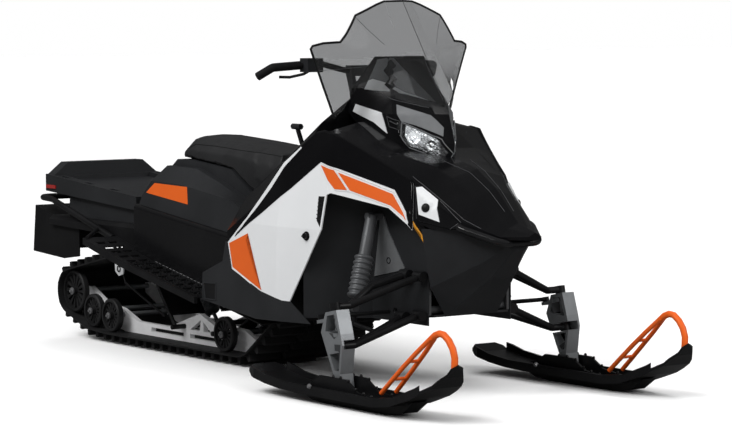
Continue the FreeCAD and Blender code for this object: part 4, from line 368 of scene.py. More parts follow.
def add_bar(form, route, radius, sides=8):
    """A round bar, its radius in mm: a ring drawn on from place to place, closed at both ends."""
    across, before, ring = None, None, []
    for index, place in enumerate(route):
        along = (route[min(index + 1, len(route) - 1)] - route[max(index - 1, 0)]).normalized()
        across = along.orthogonal() if across is None else across - along * across.dot(along)
        across.normalize()
        turn = Matrix((along.cross(across), -across, along)).transposed().to_4x4()
        stand = Matrix.Translation(place) @ turn
        if before is None:
            first = bmesh.ops.create_circle(form, segments=sides, radius=radius / 1000, matrix=stand)
            ring = list({edge for vert in first["verts"] for edge in vert.link_edges})
        else:
            drawn = bmesh.ops.extrude_edge_only(form, edges=ring)["geom"]
            ring = [item for item in drawn if isinstance(item, bmesh.types.BMEdge)]
            corners = [item for item in drawn if isinstance(item, bmesh.types.BMVert)]
            bmesh.ops.transform(form, matrix=stand @ before.inverted(), verts=corners)
        before = stand
    bmesh.ops.holes_fill(form, edges=[edge for edge in form.edges if edge.is_boundary], sides=0)


def show(name, form, finish, body="chassis", soften=35):
    """Makes a piece of a form, gives it a finish and sets it on a body."""
    bmesh.ops.recalc_face_normals(form, faces=form.faces)
    for edge in form.edges:
        edge.smooth = len(edge.link_faces) == 2 and edge.calc_face_angle() < math.radians(soften)
    for face in form.faces:
        face.smooth = True
    mesh = bpy.data.meshes.new(name)
    form.to_mesh(mesh)
    form.free()
    mesh.materials.append(finish)
    piece = bpy.data.objects.new(name, mesh)
    bpy.context.scene.collection.objects.link(piece)
    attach(piece, body)
    return piece


board_skin = skin_of("running_boards")
teeth = bmesh.new()
quarter = Matrix.Rotation(math.pi / 4, 4, "Z")
middle = mm(0, 0, (TOOTH_HEIGHT - TOOTH_FOOT) / 2)
corner = TOOTH_HALF * math.sqrt(2) / 1000
for side in (-1, 1):
    for y in TOOTH_ROWS:
        for k in range(*TOOTH_COUNT):
            hit, normal, _, _ = board_skin.ray_cast(mm(k * TOOTH_PITCH, side * y, 700), Vector((0, 0, -1)))
            if hit is None or abs(normal.z) < 0.9:
                continue
            bmesh.ops.create_cone(teeth, cap_ends=True, segments=4, radius1=corner,
                                  radius2=corner * TOOTH_TAPER,
                                  depth=(TOOTH_HEIGHT + TOOTH_FOOT) / 1000,
                                  matrix=Matrix.Translation(hit + middle) @ quarter)
show("board_teeth", teeth, powder_black)

# Painted highlight: a bright grey metal bar laid along the board's outer edge.
board_edge_highlight = new_finish(
    "board_edge_highlight", (0.3, 0.3, 0.31), (0.05, 0.05, 0.052),
    roughness=0.35, grain=900, height=0.0001, clouds=14, wear=0.8, metallic=0.6)
edges = bmesh.new()
for side in (-1, 1):
    add_bar(edges, laid_along(board_skin, BOARD_EDGE, side, lift=0.5), radius=EDGE_RADIUS)
show("board_edge_highlights", edges, board_edge_highlight)

# Tunnel covers, fairings, footwells and belly: moulded plastic, charcoal and coloured right through.
# The covers are smoother and blacker than the rest. Grips and snow flap are soft moulded rubber.

CHARCOAL = (0.0155, 0.0162, 0.0175)
CHARCOAL_WORN = (0.025, 0.0258, 0.028)

moulded_charcoal = new_finish(
    "moulded_charcoal", CHARCOAL, CHARCOAL_WORN,
    roughness=0.45, grain=700, height=0.0003, clouds=4, wear=0.6, specular=0.28)
dress(moulded_charcoal, "side_fairing_left", "side_fairing_right", "footwell_left", "footwell_right",
      "belly_pan", "arch_liners", "seat_base", "cargo_deck", "gear_lever", "bar_controls")

satin_cover = new_finish(
    "satin_cover", BLACK_PAINT, (0.009, 0.009, 0.0096),
    roughness=0.24, grain=160, height=0.00015, clouds=5, wear=0.5, specular=0.3)
dress(satin_cover, "tunnel_covers")

soft_black = new_finish(
    "soft_black", (0.006, 0.006, 0.0064), (0.012, 0.012, 0.0126),
    roughness=0.6, grain=250, height=0.0004, clouds=4, wear=0.6, specular=0.2)
dress(soft_black, "snow_flap", "grips")

# Side panels: white gloss plastic with a black field above and orange bands edged in white.
# The colours are printed films that follow the panel's facets. A quarter-turn knob opens each panel.

WHITE = (0.67, 0.68, 0.69)
ORANGE = (0.66, 0.108, 0.012)
BLACK_FIELD = [(601, 938), (646, 945), (703, 937), (1004, 781), (1014, 762), (1044, 612), (1031, 624),
               (1014, 670), (955, 746), (733, 815), (645, 836), (484, 731), (318, 634), (200, 570),
               (136, 532), (150, 548), (186, 572), (285, 655), (362, 728), (436, 812), (520, 880)]
UPPER_BAND = [(648, 824), (716, 809), (775, 739), (727, 741)]
LONG_BAND = [(733, 801), (950, 731), (1005, 664), (1022, 636), (1008, 652), (950, 690), (787, 738)]
REAR_BAND = [(99, 506), (230, 551), (219, 526), (276, 429), (334, 346), (129, 417)]
REAR_LINE = [(214, 508), (266, 368)]
WHITE_LINES = [[(648, 833), (728, 812), (953, 738), (1010, 668), (1030, 630)], [(722, 808), (780, 738)],
               [(728, 737), (787, 734), (950, 686), (1008, 648), (1028, 632)],
               [(92, 508), (126, 413), (312, 345)]]
PANEL_KNOB = (607, 565)
KNOB_PROFILE = [(-4, 17), (3, 17), (5, 15), (5, 12), (13, 11), (15, 9)]
KNOB_SLOT = [(-9, -2.5), (9, -2.5), (9, 2.5), (-9, 2.5)]
FILM_SEAT = 0.3


def add_turned(form, place, axis, profile, sides=20):
    """A turned form about an axis from a place: profile rows are distance along and radius, in mm."""
    axis = Vector(axis).normalized()
    across = axis.orthogonal().normalized()
    rows = [form.verts.new(place + (axis * along + across * radius) / 1000) for along, radius in profile]
    steps = [form.edges.new(pair) for pair in zip(rows, rows[1:])]
    bmesh.ops.spin(form, geom=rows + steps, cent=place, axis=axis, angle=math.tau, steps=sides,
                   use_merge=True)
    bmesh.ops.holes_fill(form, edges=[edge for edge in form.edges if edge.is_boundary], sides=0)


def add_slab(form, outline, depth, bevel=0.0):
    """A flat plate: its outline swept by a depth, with its edges eased."""
    low = [form.verts.new(place) for place in outline]
    high = [form.verts.new(place + depth) for place in outline]
    faces = [form.faces.new(low[::-1]), form.faces.new(high)]
    for k in range(len(low)):
        after = (k + 1) % len(low)
        faces.append(form.faces.new((low[k], low[after], high[after], high[k])))
    if bevel:
        edges = list({edge for face in faces for edge in face.edges})
        bmesh.ops.bevel(form, geom=edges, offset=bevel / 1000, segments=2, profile=0.5, affect="EDGES",
                        material=-1)


def join_form(form, piece):
    """Adds a finished piece to a form."""
    mesh = bpy.data.meshes.new("joined")
    piece.to_mesh(mesh)
    piece.free()
    form.from_mesh(mesh)
    bpy.data.meshes.remove(mesh)


def doubled(flat):
    """Closes a flat sheet with a second face layer, and gives back the second layer's corners."""
    layer = bmesh.ops.extrude_face_region(flat, geom=flat.faces[:])["geom"]
    return {item for item in layer if isinstance(item, bmesh.types.BMVert)}


def cut_film(film, axis, distance):
    """Cuts a flat sheet across one axis at a distance in mm, so that it can bend there."""
    at, normal = Vector((0, 0, 0)), Vector((0, 0, 0))
    at[axis], normal[axis] = distance / 1000, 1
    parts = film.verts[:] + film.edges[:] + film.faces[:]
    bmesh.ops.bisect_plane(film, geom=parts, plane_co=at, plane_no=normal)


def add_film(form, outline, skin, side, lift, step=12):
    """A thin sheet with its outline drawn in the side view, laid on the skin, all in mm."""
    film = bmesh.new()
    film.faces.new([film.verts.new(mm(x, 0, z)) for x, z in outline])
    bmesh.ops.triangulate(film, faces=film.faces)
    for axis in (0, 2):
        places = [vert.co[axis] * 1000 for vert in film.verts]
        for k in range(math.ceil(min(places) / step), math.floor(max(places) / step) + 1):
            cut_film(film, axis, k * step)
    bmesh.ops.triangulate(film, faces=film.faces)
    face_side = doubled(film)
    for vert in film.verts:
        x, z = vert.co.x * 1000, vert.co.z * 1000
        vert.co = outer_place(skin, x, z, side, lift=lift if vert in face_side else -FILM_SEAT)
    join_form(form, film)


gloss_black = new_finish(
    "gloss_black", (0.0035, 0.0035, 0.004), (0.007, 0.007, 0.0075),
    roughness=0.17, grain=120, height=0.00004, clouds=3, wear=0.6, specular=0.22)
panel_white = new_finish(
    "panel_white", WHITE, (0.6, 0.61, 0.62),
    roughness=0.32, grain=120, height=0.00005, clouds=3, wear=0.4, specular=0.4)
print_orange = new_finish(
    "print_orange", ORANGE, (0.6, 0.09, 0.01),
    roughness=0.34, grain=200, height=0.00004, clouds=5, wear=0.5, specular=0.35)
dress(panel_white, "side_panel_left", "side_panel_right")

panel_skin = skin_of("side_panel_left", "side_panel_right")
field, bands, lines, knobs = bmesh.new(), bmesh.new(), bmesh.new(), bmesh.new()
for side in (-1, 1):
    add_film(field, BLACK_FIELD, panel_skin, side, lift=1.6, step=8)
    for band in (UPPER_BAND, LONG_BAND, REAR_BAND):
        add_film(bands, band, panel_skin, side, lift=1.9, step=8)
    for line in WHITE_LINES:
        add_bar(lines, laid_along(panel_skin, line, side, lift=0.4, step=10), radius=2.0, sides=6)
    add_bar(lines, laid_along(panel_skin, REAR_LINE, side, lift=0.6, step=10), radius=1.2, sides=6)
    place = outer_place(panel_skin, *PANEL_KNOB, side)
    add_turned(knobs, place, (0.1, side, 0.08), KNOB_PROFILE, sides=28)
    add_slab(knobs, [place + mm(x, side * 12, z) for x, z in KNOB_SLOT], mm(0, side * 6, 0), bevel=1)
show("panel_black_field", field, gloss_black)
show("panel_orange_bands", bands, print_orange, soften=60)
show("panel_white_lines", lines, panel_white)
show("panel_knobs", knobs, gloss_black)

# Panel edges and vent: the panel's upper and front edges turn over into a rounded gloss black lip.
# An outlet for warm air is moulded in behind the shock opening, with slats that slope to the rear.

PANEL_LIP = [(520, 887), (601, 939), (646, 947), (704, 939), (1007, 782)]
FRONT_LIP = [(1007, 782), (1018, 762), (1046, 610)]
VENT = [(655, 712), (689, 713), (681, 602), (660, 624)]
VENT_TOP = 712
VENT_SLATS = 6
SLAT_PITCH = 14

# A grey finish for thin bars: painted highlights on the cheek edges, hood crease and visor lip, and the
# grey frame of the lamp marker.
highlight_and_frame_grey = new_finish(
    "highlight_and_frame_grey", (0.05, 0.051, 0.054), (0.02, 0.02, 0.021),
    roughness=0.25, grain=300, height=0.00005, clouds=10, wear=0.8, specular=0.5)
lips = bmesh.new()
for side in (-1, 1):
    add_bar(lips, laid_along(panel_skin, PANEL_LIP, side, lift=-2.0, step=12), radius=5.0, sides=8)
    add_bar(lips, laid_along(panel_skin, FRONT_LIP, side, lift=-1.5, step=12), radius=4.0, sides=8)
show("panel_lips", lips, gloss_black)
vents = bmesh.new()
for side in (-1, 1):
    add_film(vents, VENT, panel_skin, side, lift=1.2)
    for k in range(1, VENT_SLATS + 1):
        z = VENT_TOP - k * SLAT_PITCH
        slat = [(658, z + 4), (686 - k, z)]
        add_bar(vents, laid_along(panel_skin, slat, side, lift=2.0, step=10), radius=2.4, sides=6)
show("panel_vents", vents, powder_black)

# Side fairings: the moulded side of the tunnel flares out over the rear end of the board.
# A plain orange patch is printed on film and stuck on the flare.

FAIRING_PATCH = [(-702, 652), (-642, 693), (-400, 689), (-384, 621)]

fairing_skin = skin_of("side_fairing_left", "side_fairing_right")
patches = bmesh.new()
for side in (-1, 1):
    add_film(patches, FAIRING_PATCH, fairing_skin, side, lift=1.0)
show("fairing_patches", patches, print_orange, soften=60)

# Footwells: a moulded wall in front of the rider's boot, with a shallow pocket as a toe hold.
# A dark matt film laid in the pocket is painted shade, and a raised rim goes round it, moulded in one with
# the wall.

TOE_RIM = [(-80, 341), (8, 345), (12, 281), (-62, 281), (-80, 341)]

footwell_skin = skin_of("footwell_left", "footwell_right")
rims, pocket_shade = bmesh.new(), bmesh.new()
for side in (-1, 1):
    add_bar(rims, laid_along(footwell_skin, TOE_RIM, side, lift=0.5, step=12), radius=3, sides=8)
    # The dark film inside each toe hold is painted shade.
    add_film(pocket_shade, TOE_RIM[:-1], footwell_skin, side, lift=0.6)
show("toe_hold_rims", rims, moulded_charcoal)
show("toe_hold_shade", pocket_shade, soft_black)

# Hood and nose: gloss black mouldings, with crisp creases and edges; thin grey bars along the cheek edges
# and hood crease are painted highlights.
# A white plate is held on each cheek by a quarter-turn knob.

WHITE_PLATE = [(1034, 757), (1047, 757), (1113, 714), (1145, 638), (1064, 662)]
CHEEK_KNOB = (1085, 686)
CHEEK_PROFILE = [(-2, 16), (3, 16), (5, 14), (5, 11), (9, 10), (10, 8)]
CHEEK_LINES = [[(1000, 794), (1120, 716), (1222, 650), (1284, 620)],
               [(1026, 762), (1052, 650), (1064, 640), (1190, 616)],
               [(1120, 712), (1218, 640), (1190, 618)]]
HOOD_CREASE = [(1000, 60), (1130, 34), (1300, 20)]
CREASE_PLACES = 8

dress(gloss_black, "console", "hood", "lamp_pod", "nose_plates")
cheek_skin = skin_of("hood", "nose_plates")
plates, cheek_knobs, cheek_highlight_lines = bmesh.new(), bmesh.new(), bmesh.new()
for side in (-1, 1):
    add_film(plates, WHITE_PLATE, cheek_skin, side, lift=4.5)
    place = outer_place(cheek_skin, *CHEEK_KNOB, side, lift=4.5)
    out = (outer_place(cheek_skin, *CHEEK_KNOB, side, lift=20) - place).normalized()
    add_turned(cheek_knobs, place, out, CHEEK_PROFILE, sides=28)
    # Thin grey bars along the cheek edges: painted highlights.
    for line in CHEEK_LINES:
        add_bar(cheek_highlight_lines, laid_along(cheek_skin, line, side, lift=0.3, step=12), radius=1.3, sides=6)
show("cheek_plates", plates, panel_white)
show("cheek_knobs", cheek_knobs, powder_black)
show("cheek_highlight_lines", cheek_highlight_lines, highlight_and_frame_grey)

hood_skin = skin_of("hood")
# A thin grey bar along the hood crease, each side: a painted highlight.
creases = bmesh.new()
for side in (-1, 1):
    route = []
    for (x0, y0), (x1, y1) in zip(HOOD_CREASE, HOOD_CREASE[1:]):
        for k in range(CREASE_PLACES + 1):
            share = k / CREASE_PLACES
            above = mm(x0 + (x1 - x0) * share, side * (y0 + (y1 - y0) * share), 1200)
            hit, normal, _, _ = hood_skin.ray_cast(above, Vector((0, 0, -1)))
            if hit is not None:
                route.append(hit + normal * 0.0004)
    route = [place for n, place in enumerate(route) if n == 0 or (place - route[n - 1]).length > 0.002]
    add_bar(creases, route, radius=1.2, sides=6)
show("hood_crease_highlights", creases, highlight_and_frame_grey)

# Lamp pod: a moulded beak between two clear lamps, a grey brow over them and white wings at its sides.
# Behind each glass stand a dark bowl and two chromed rings. A small framed marker sits above the lamp.

BROW = [(786, 1043), (895, 1006), (942, 962), (946, 930), (862, 968), (818, 983)]
WING = [(590, 1041), (583, 1014), (697, 977), (762, 938), (737, 1013), (678, 1024)]
MARKER = [(762, 1001), (812, 985), (820, 952), (771, 963), (762, 1001)]
MARKER_BAR = [(776, 984), (808, 972)]
VISOR_FACET = [(617, 137, 1096), (635, 106, 1172), (639, 93, 1205), (706, 69, 1210), (894, 16, 1052)]
VISOR_LIP = [(600, 1102), (697, 1084), (778, 1058), (880, 1032)]
LAMP_RIM = [(825, 980), (885, 950), (943, 920), (978, 868), (963, 842), (912, 862), (846, 890), (826, 930),
            (825, 980)]
REFLECTOR = [(833, 970), (885, 943), (936, 915), (962, 872), (950, 856), (908, 868), (852, 893), (833, 932)]
BOWLS = [(862, 925, 24), (915, 898, 19)]
LAMP_STRIP = [(846, 925), (870, 897), (905, 882)]


def add_patch(form, corners, skin, lift, cuts=4):
    """A thin sheet between corners given in mm, snapped to the nearest skin."""
    patch = bmesh.new()
    patch.faces.new([patch.verts.new(mm(*corner)) for corner in corners])
    bmesh.ops.triangulate(patch, faces=patch.faces)
    bmesh.ops.subdivide_edges(patch, edges=patch.edges, cuts=cuts, use_grid_fill=True)
    bmesh.ops.triangulate(patch, faces=patch.faces)
    face_side = doubled(patch)
    for vert in patch.verts:
        place, normal, _, _ = skin.find_nearest(vert.co)
        if normal.z < 0:
            normal = -normal
        vert.co = place + normal * (lift if vert in face_side else -FILM_SEAT) / 1000
    join_form(form, patch)


brow_grey = new_finish(
    "brow_grey", (0.13, 0.135, 0.14), (0.2, 0.205, 0.21),
    roughness=0.28, grain=160, height=0.00006, clouds=9, wear=0.6, specular=0.5)
chrome = new_finish(
    "chrome", (0.75, 0.76, 0.77), (0.4, 0.41, 0.42),
    roughness=0.12, grain=120, height=0.003, clouds=60, wear=0.8, metallic=1.0)
pod_skin = skin_of("lamp_pod")
brows, wings, frames_and_highlights = bmesh.new(), bmesh.new(), bmesh.new()
for side in (-1, 1):
    add_film(brows, BROW, pod_skin, side, lift=2.5)
    add_film(wings, WING, pod_skin, side, lift=3.0)
    add_bar(frames_and_highlights, laid_along(pod_skin, MARKER, side, lift=0.5, step=8), radius=1.5, sides=6)
    add_bar(frames_and_highlights, laid_along(pod_skin, MARKER_BAR, side, lift=1.0, step=8), radius=2.2, sides=6)
    # The bar along the visor lip is a painted highlight; the marker's frame and bar are grey trim.
    add_bar(frames_and_highlights, laid_along(pod_skin, VISOR_LIP, side, lift=0.5, step=12), radius=1.6, sides=6)
show("pod_brows", brows, brow_grey)
# A grey patch on each visor facet of the black pod: a painted highlight, the facet lit.
lit_facet_grey = new_finish(
    "lit_facet_grey", (0.27, 0.28, 0.285), (0.33, 0.34, 0.345),
    roughness=0.35, grain=160, height=0.00006, clouds=9, wear=0.5, specular=0.4)
lit_facets = bmesh.new()
for side in (-1, 1):
    add_patch(lit_facets, [(x, side * y, z) for x, y, z in VISOR_FACET], pod_skin, lift=2)
show("pod_lit_facets", lit_facets, lit_facet_grey)
show("pod_wings", wings, panel_white)
show("pod_frames_and_highlights", frames_and_highlights, highlight_and_frame_grey)


def clear_glass(name, tint, roughness):
    """Moulded glass or sheet, faintly uneven."""
    finish = bpy.data.materials.new(name)
    finish.use_nodes = True
    tree = finish.node_tree
    shader = tree.nodes["Principled BSDF"]
    shader.inputs["Transmission Weight"].default_value = 1
    shader.inputs["IOR"].default_value = 1.45
    tone = tree.nodes.new("ShaderNodeGroup")
    tone.node_tree = WEAR
    tone.inputs["Clean"].default_value = (*tint, 1)
    tone.inputs["Worn"].default_value = (*[value * 0.94 for value in tint], 1)
    tone.inputs["Size"].default_value = 3
    wire(tree, tone.outputs["Color"], shader.inputs["Base Color"])
    gloss = tree.nodes.new("ShaderNodeMapRange")
    gloss.inputs["To Min"].default_value = roughness
    gloss.inputs["To Max"].default_value = roughness * 1.5 + 0.005
    wire(tree, tone.outputs["Mask"], gloss.inputs["Value"])
    wire(tree, gloss.outputs["Result"], shader.inputs["Roughness"])
    return finish


dress(clear_glass("lamp_glass", (0.93, 0.95, 0.96), roughness=0.01), "headlamps")
lamp_dark = new_finish(
    "lamp_dark", (0.5, 0.51, 0.52), (0.03, 0.03, 0.032),
    roughness=0.18, grain=130, height=0.003, clouds=45, wear=1.0, metallic=0.9)
bowls, shines = bmesh.new(), bmesh.new()
for side in (-1, 1):
    add_film(bowls, REFLECTOR, pod_skin, side, lift=0.8)
    for x, z, radius in BOWLS:
        place = outer_place(pod_skin, x, z, side, lift=0.5)
        out = (outer_place(pod_skin, x, z, side, lift=30) - place).normalized()
        bowl = [(0, radius), (3, radius), (3, radius - 4), (1, radius * 0.5), (3, 4)]
        add_turned(shines, place, out, bowl, sides=32)
    add_bar(shines, laid_along(pod_skin, LAMP_STRIP, side, lift=2.5, step=8), radius=2.4, sides=8)
show("lamp_reflectors", bowls, lamp_dark)
show("lamp_bowls", shines, chrome)
rim = bmesh.new()
lamp_skin = skin_of("headlamps", "lamp_pod")
for side in (-1, 1):
    add_bar(rim, laid_along(lamp_skin, LAMP_RIM, side, lift=0.2, step=8), radius=1.8, sides=8)
show("lamp_rims", rim, brow_grey)

# Windshield: a folded sheet of smoked plastic with a black rubber edge and shallow moulded creases, two of
# them traced by thin grey bars that are painted highlights.
# Its sides sweep in to the pod: the folds run from the peak down to the lamps, and the ears are notched.

SCREEN_OUTLINE = [(0, 1421), (64, 1419), (100, 1407), (194, 1368), (240, 1299), (262, 1271), (318, 1267),
                  (352, 1257), (357, 1246), (321, 1150), (282, 1046), (262, 990), (241, 1054), (217, 1118),
                  (180, 1138), (140, 1120), (110, 1090), (0, 1036)]
SCREEN_RISE = (1036, 1421)
SCREEN_MIDDLE = (938, 669)
SCREEN_FOLD = (90, 60)
SCREEN_FOLD_BACK = (44, 30)
SCREEN_SIDE = (278, 404)
SCREEN_SIDE_X = (600, 590)
SCREEN_THICK = 4
SCREEN_STEP = 15
SCREEN_CUTS = {1: (-24, 25), 2: (65, 96)}
SCREEN_SIDE_END = 12
SMOKE = (0.25, 0.253, 0.257)
SCREEN_CREASES = [[(194, 1360), (120, 1262)], [(205, 1180), (326, 1166)]]


def screen_x(y, z):
    """How far forward the sheet stands at a place seen from the front."""
    rise = (z - SCREEN_RISE[0]) / (SCREEN_RISE[1] - SCREEN_RISE[0])
    middle, fold, back, side, side_x = (pair[0] + (pair[1] - pair[0]) * rise for pair in (
        SCREEN_MIDDLE, SCREEN_FOLD, SCREEN_FOLD_BACK, SCREEN_SIDE, SCREEN_SIDE_X))
    y = abs(y)
    if y < fold:
        return middle - back * y / fold
    return middle - back + (side_x - middle + back) * (y - fold) / (side - fold)


def screen_route(outline, side, step=12):
    """Places in the middle of the sheet's thickness, along a line drawn in the front view."""
    places = []
    for (y0, z0), (y1, z1) in zip(outline, outline[1:]):
        count = max(1, round(math.hypot(y1 - y0, z1 - z0) / step))
        for k in range(count + 1):
            y, z = y0 + (y1 - y0) * k / count, z0 + (z1 - z0) * k / count
            places.append(mm(screen_x(y, z) - SCREEN_THICK / 2, side * y, z))
    return [place for n, place in enumerate(places) if n == 0 or (place - places[n - 1]).length > 0.001]


sheet = bmesh.new()
outline = SCREEN_OUTLINE + [(-y, z) for y, z in reversed(SCREEN_OUTLINE[1:-1])]
corners = [sheet.verts.new(mm(0, y, z)) for y, z in outline]
for triangle in tessellate_polygon([[mm(y, z, 0) for y, z in outline]]):
    sheet.faces.new([corners[k] for k in triangle])
for axis, (first, last) in SCREEN_CUTS.items():
    for k in range(first, last):
        cut_film(sheet, axis, k * SCREEN_STEP)
for side in (-1, 1):
    at = mm(0, side * SCREEN_FOLD[0], SCREEN_RISE[0])
    normal = Vector((0, SCREEN_RISE[1] - SCREEN_RISE[0], side * (SCREEN_FOLD[0] - SCREEN_FOLD[1])))
    parts = sheet.verts[:] + sheet.edges[:] + sheet.faces[:]
    bmesh.ops.bisect_plane(sheet, geom=parts, plane_co=at, plane_no=normal)
bmesh.ops.triangulate(sheet, faces=sheet.faces)
rear_side = doubled(sheet)
for vert in sheet.verts:
    y, z = vert.co.y * 1000, vert.co.z * 1000
    vert.co = mm(screen_x(y, z) - (SCREEN_THICK if vert in rear_side else 0), y, z)
smoked_sheet = clear_glass("smoked_sheet", SMOKE, roughness=0.02)
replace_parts(show("screen_sheet", sheet, smoked_sheet, soften=4), "windshield")
edging, folds = bmesh.new(), bmesh.new()
for side in (-1, 1):
    add_bar(edging, screen_route(SCREEN_OUTLINE[:SCREEN_SIDE_END], side), radius=4.4, sides=10)
    # The thin grey bars along two creases are painted highlights.
    for line in SCREEN_CREASES:
        add_bar(folds, screen_route(line, side), radius=0.8, sides=6)
show("screen_edging", edging, soft_black)
show("screen_crease_highlights", folds, brow_grey)

# Seat: soft foam under stretched black vinyl, which swells a little between its edges.
# The cover is sewn from panels, with piping along each shoulder and each flank.

SEAT_VOXEL = 0.0075
SEAT_SWELL = 0.007
SEAT_SHRINK = 0.005
SEAT_PRESSURE = 4
SEAT_STIFFNESS = 20
SEAT_BEND = 4
SEAT_STEPS = 20

seat_vinyl = new_finish(
    "seat_vinyl", (0.014, 0.0142, 0.015), (0.024, 0.0243, 0.0255),
    roughness=0.42, grain=620, height=0.0005, clouds=4, wear=0.6, specular=0.45)
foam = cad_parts["seat_cushion"].data.copy()
foam.materials.clear()
foam.materials.append(seat_vinyl)
seat = bpy.data.objects.new("seat", foam)
bpy.context.scene.collection.objects.link(seat)
packed = bmesh.new()
packed.from_mesh(foam)
bmesh.ops.remove_doubles(packed, verts=packed.verts, dist=0.0001)
bmesh.ops.recalc_face_normals(packed, faces=packed.faces)
packed.to_mesh(foam)
packed.free()


def settle(piece, kind, **values):
    """Adds a modifier and applies it."""
    modifier = piece.modifiers.new(kind.lower(), kind)
    for key, value in values.items():
        setattr(modifier, key, value)
    evaluated = piece.evaluated_get(bpy.context.evaluated_depsgraph_get())
    mesh = bpy.data.meshes.new_from_object(evaluated)
    piece.modifiers.clear()
    piece.data = mesh


settle(seat, "REMESH", mode="VOXEL", voxel_size=SEAT_VOXEL)
for vert in seat.data.vertices:
    vert.co -= vert.normal * SEAT_SHRINK
rest = [vert.co.copy() for vert in seat.data.vertices]
cloth = seat.modifiers.new("cloth", "CLOTH")
cloth.settings.quality = 6
cloth.settings.use_pressure = True
cloth.settings.uniform_pressure_force = SEAT_PRESSURE
cloth.settings.tension_stiffness = SEAT_STIFFNESS
cloth.settings.compression_stiffness = SEAT_STIFFNESS
cloth.settings.bending_stiffness = SEAT_BEND
cloth.settings.effector_weights.gravity = 0
for step in range(1, SEAT_STEPS + 1):
    bpy.context.scene.frame_set(step)
swollen = bpy.data.meshes.new_from_object(seat.evaluated_get(bpy.context.evaluated_depsgraph_get()))
seat.modifiers.clear()
bpy.context.scene.frame_set(1)
for vert, start in zip(swollen.vertices, rest):
    moved = vert.co - start
    if moved.length > SEAT_SWELL:
        vert.co = start + moved.normalized() * SEAT_SWELL
seat.data = swollen
settle(seat, "SMOOTH", factor=0.5, iterations=3)
settle(seat, "SUBSURF", levels=1)
for face in seat.data.polygons:
    face.use_smooth = True
seat.data.materials.clear()
seat.data.materials.append(seat_vinyl)
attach(seat, "chassis")
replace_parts(seat, "seat_cushion")

SHOULDER_SEAM = [(-628, 826), (-560, 848), (-420, 846), (-225, 838), (-60, 832), (60, 824)]
FLANK_SEAM = [(-626, 805), (-560, 800), (-330, 760), (-200, 690), (-80, 668), (50, 662)]
seat_skin = BVHTree.FromPolygons([vert.co for vert in seat.data.vertices],
                                 [face.vertices for face in seat.data.polygons])
seams = bmesh.new()
for side in (-1, 1):
    add_bar(seams, laid_along(seat_skin, SHOULDER_SEAM, side, lift=0.0, step=10), radius=1.6, sides=6)
    add_bar(seams, laid_along(seat_skin, FLANK_SEAM, side, lift=0.0, step=10), radius=1.8, sides=6)
show("seat_piping", seams, soft_black)

# Tail lamps: lenses of clear red plastic at the rear end of the machine, each moulded in one piece.
# They keep their gloss, since nothing rubs on them.

red_lens = new_finish(
    "red_lens", (0.3, 0.015, 0.012), (0.22, 0.012, 0.01),
    roughness=0.15, grain=200, height=0.0006, clouds=12, wear=0.5, coat=0.6)
dress(red_lens, "tail_lamps")

# Track, wheels and rails: moulded rubber track, spoked wheels with rubber tyres, and bright alloy rails.
# Axles, spindles, riser and springs are cast or coated metal, and the bulkhead is painted grey.
# A plated bolt with a flanged head holds each wheel.

HUBS = [(-1376, 196, 15), (-1224, 124.5, 13), (-1077, 116.5, 13), (-212, 116.5, 13), (-800, 345, 12)]


def add_bolt(form, place, axis, width):
    """A flanged hexagon head standing on a surface."""
    flange = [(-2, width * 0.62), (width * 0.1, width * 0.62), (width * 0.14, width * 0.56)]
    head = [(0, width * 0.46), (width * 0.42, width * 0.46), (width * 0.5, width * 0.4)]
    add_turned(form, place, axis, flange, sides=18)
    add_turned(form, place, axis, head, sides=6)


track_rubber = new_finish(
    "track_rubber", (0.009, 0.009, 0.0095), (0.022, 0.022, 0.0225),
    roughness=0.62, grain=200, height=0.0006, clouds=7, wear=0.8, specular=0.3)
dress(track_rubber, "track")
wheel_rubber = new_finish(
    "wheel_rubber", (0.012, 0.012, 0.0125), (0.024, 0.024, 0.025),
    roughness=0.5, grain=300, height=0.0003, clouds=9, wear=0.6, specular=0.35)
dress(wheel_rubber, "bogie_wheels", "idler_wheels", "drive_axle")
bare_alloy = new_finish(
    "bare_alloy", (0.86, 0.86, 0.87), (0.7, 0.7, 0.71),
    roughness=0.34, grain=900, height=0.0001, clouds=9, wear=0.6, metallic=0.1)
dress(bare_alloy, "slide_rails")
cast_alloy = new_finish(
    "cast_alloy", (0.24, 0.25, 0.26), (0.16, 0.166, 0.172),
    roughness=0.34, grain=700, height=0.0002, clouds=9, wear=0.6, metallic=0.5)
dress(cast_alloy, "spindle_left", "spindle_right", "engine_block", "wheel_axles")
riser_grey = new_finish(
    "riser_grey", (0.16, 0.16, 0.165), (0.07, 0.07, 0.072),
    roughness=0.35, grain=700, height=0.0002, clouds=14, wear=0.7, metallic=0.5)
dress(riser_grey, "bar_riser")
grey_plate = new_finish(
    "grey_plate", (0.07, 0.072, 0.075), (0.045, 0.046, 0.048),
    roughness=0.4, grain=700, height=0.0002, clouds=6, wear=0.6, specular=0.4)
dress(grey_plate, "bulkhead")
coil_grey = new_finish(
    "coil_grey", (0.1, 0.103, 0.108), (0.04, 0.041, 0.044),
    roughness=0.32, grain=700, height=0.0002, clouds=9, wear=0.6, metallic=0.3)
dress(coil_grey, "front_shocks", "track_shocks")

hub_skin = skin_of("bogie_wheels", "idler_wheels", "wheel_axles", "slide_rails")
hubs = bmesh.new()
for side in (-1, 1):
    for x, z, radius in HUBS:
        place = outer_place(hub_skin, x, z, side)
        add_turned(hubs, place, (0, side, 0), [(-3, radius), (1.5, radius), (2.5, radius - 2)], sides=24)
        add_bolt(hubs, place + mm(0, side * 2.5, 0), (0, side, 0), width=radius)
show("hub_bolts", hubs, zinc)

# Skis and their loops: black plastic skis, moulded with rows of raised studs along the bed.
# The orange hand loops are two moulded legs that join in one bend, with ties between them.
# A plated bolt goes through each pivot.

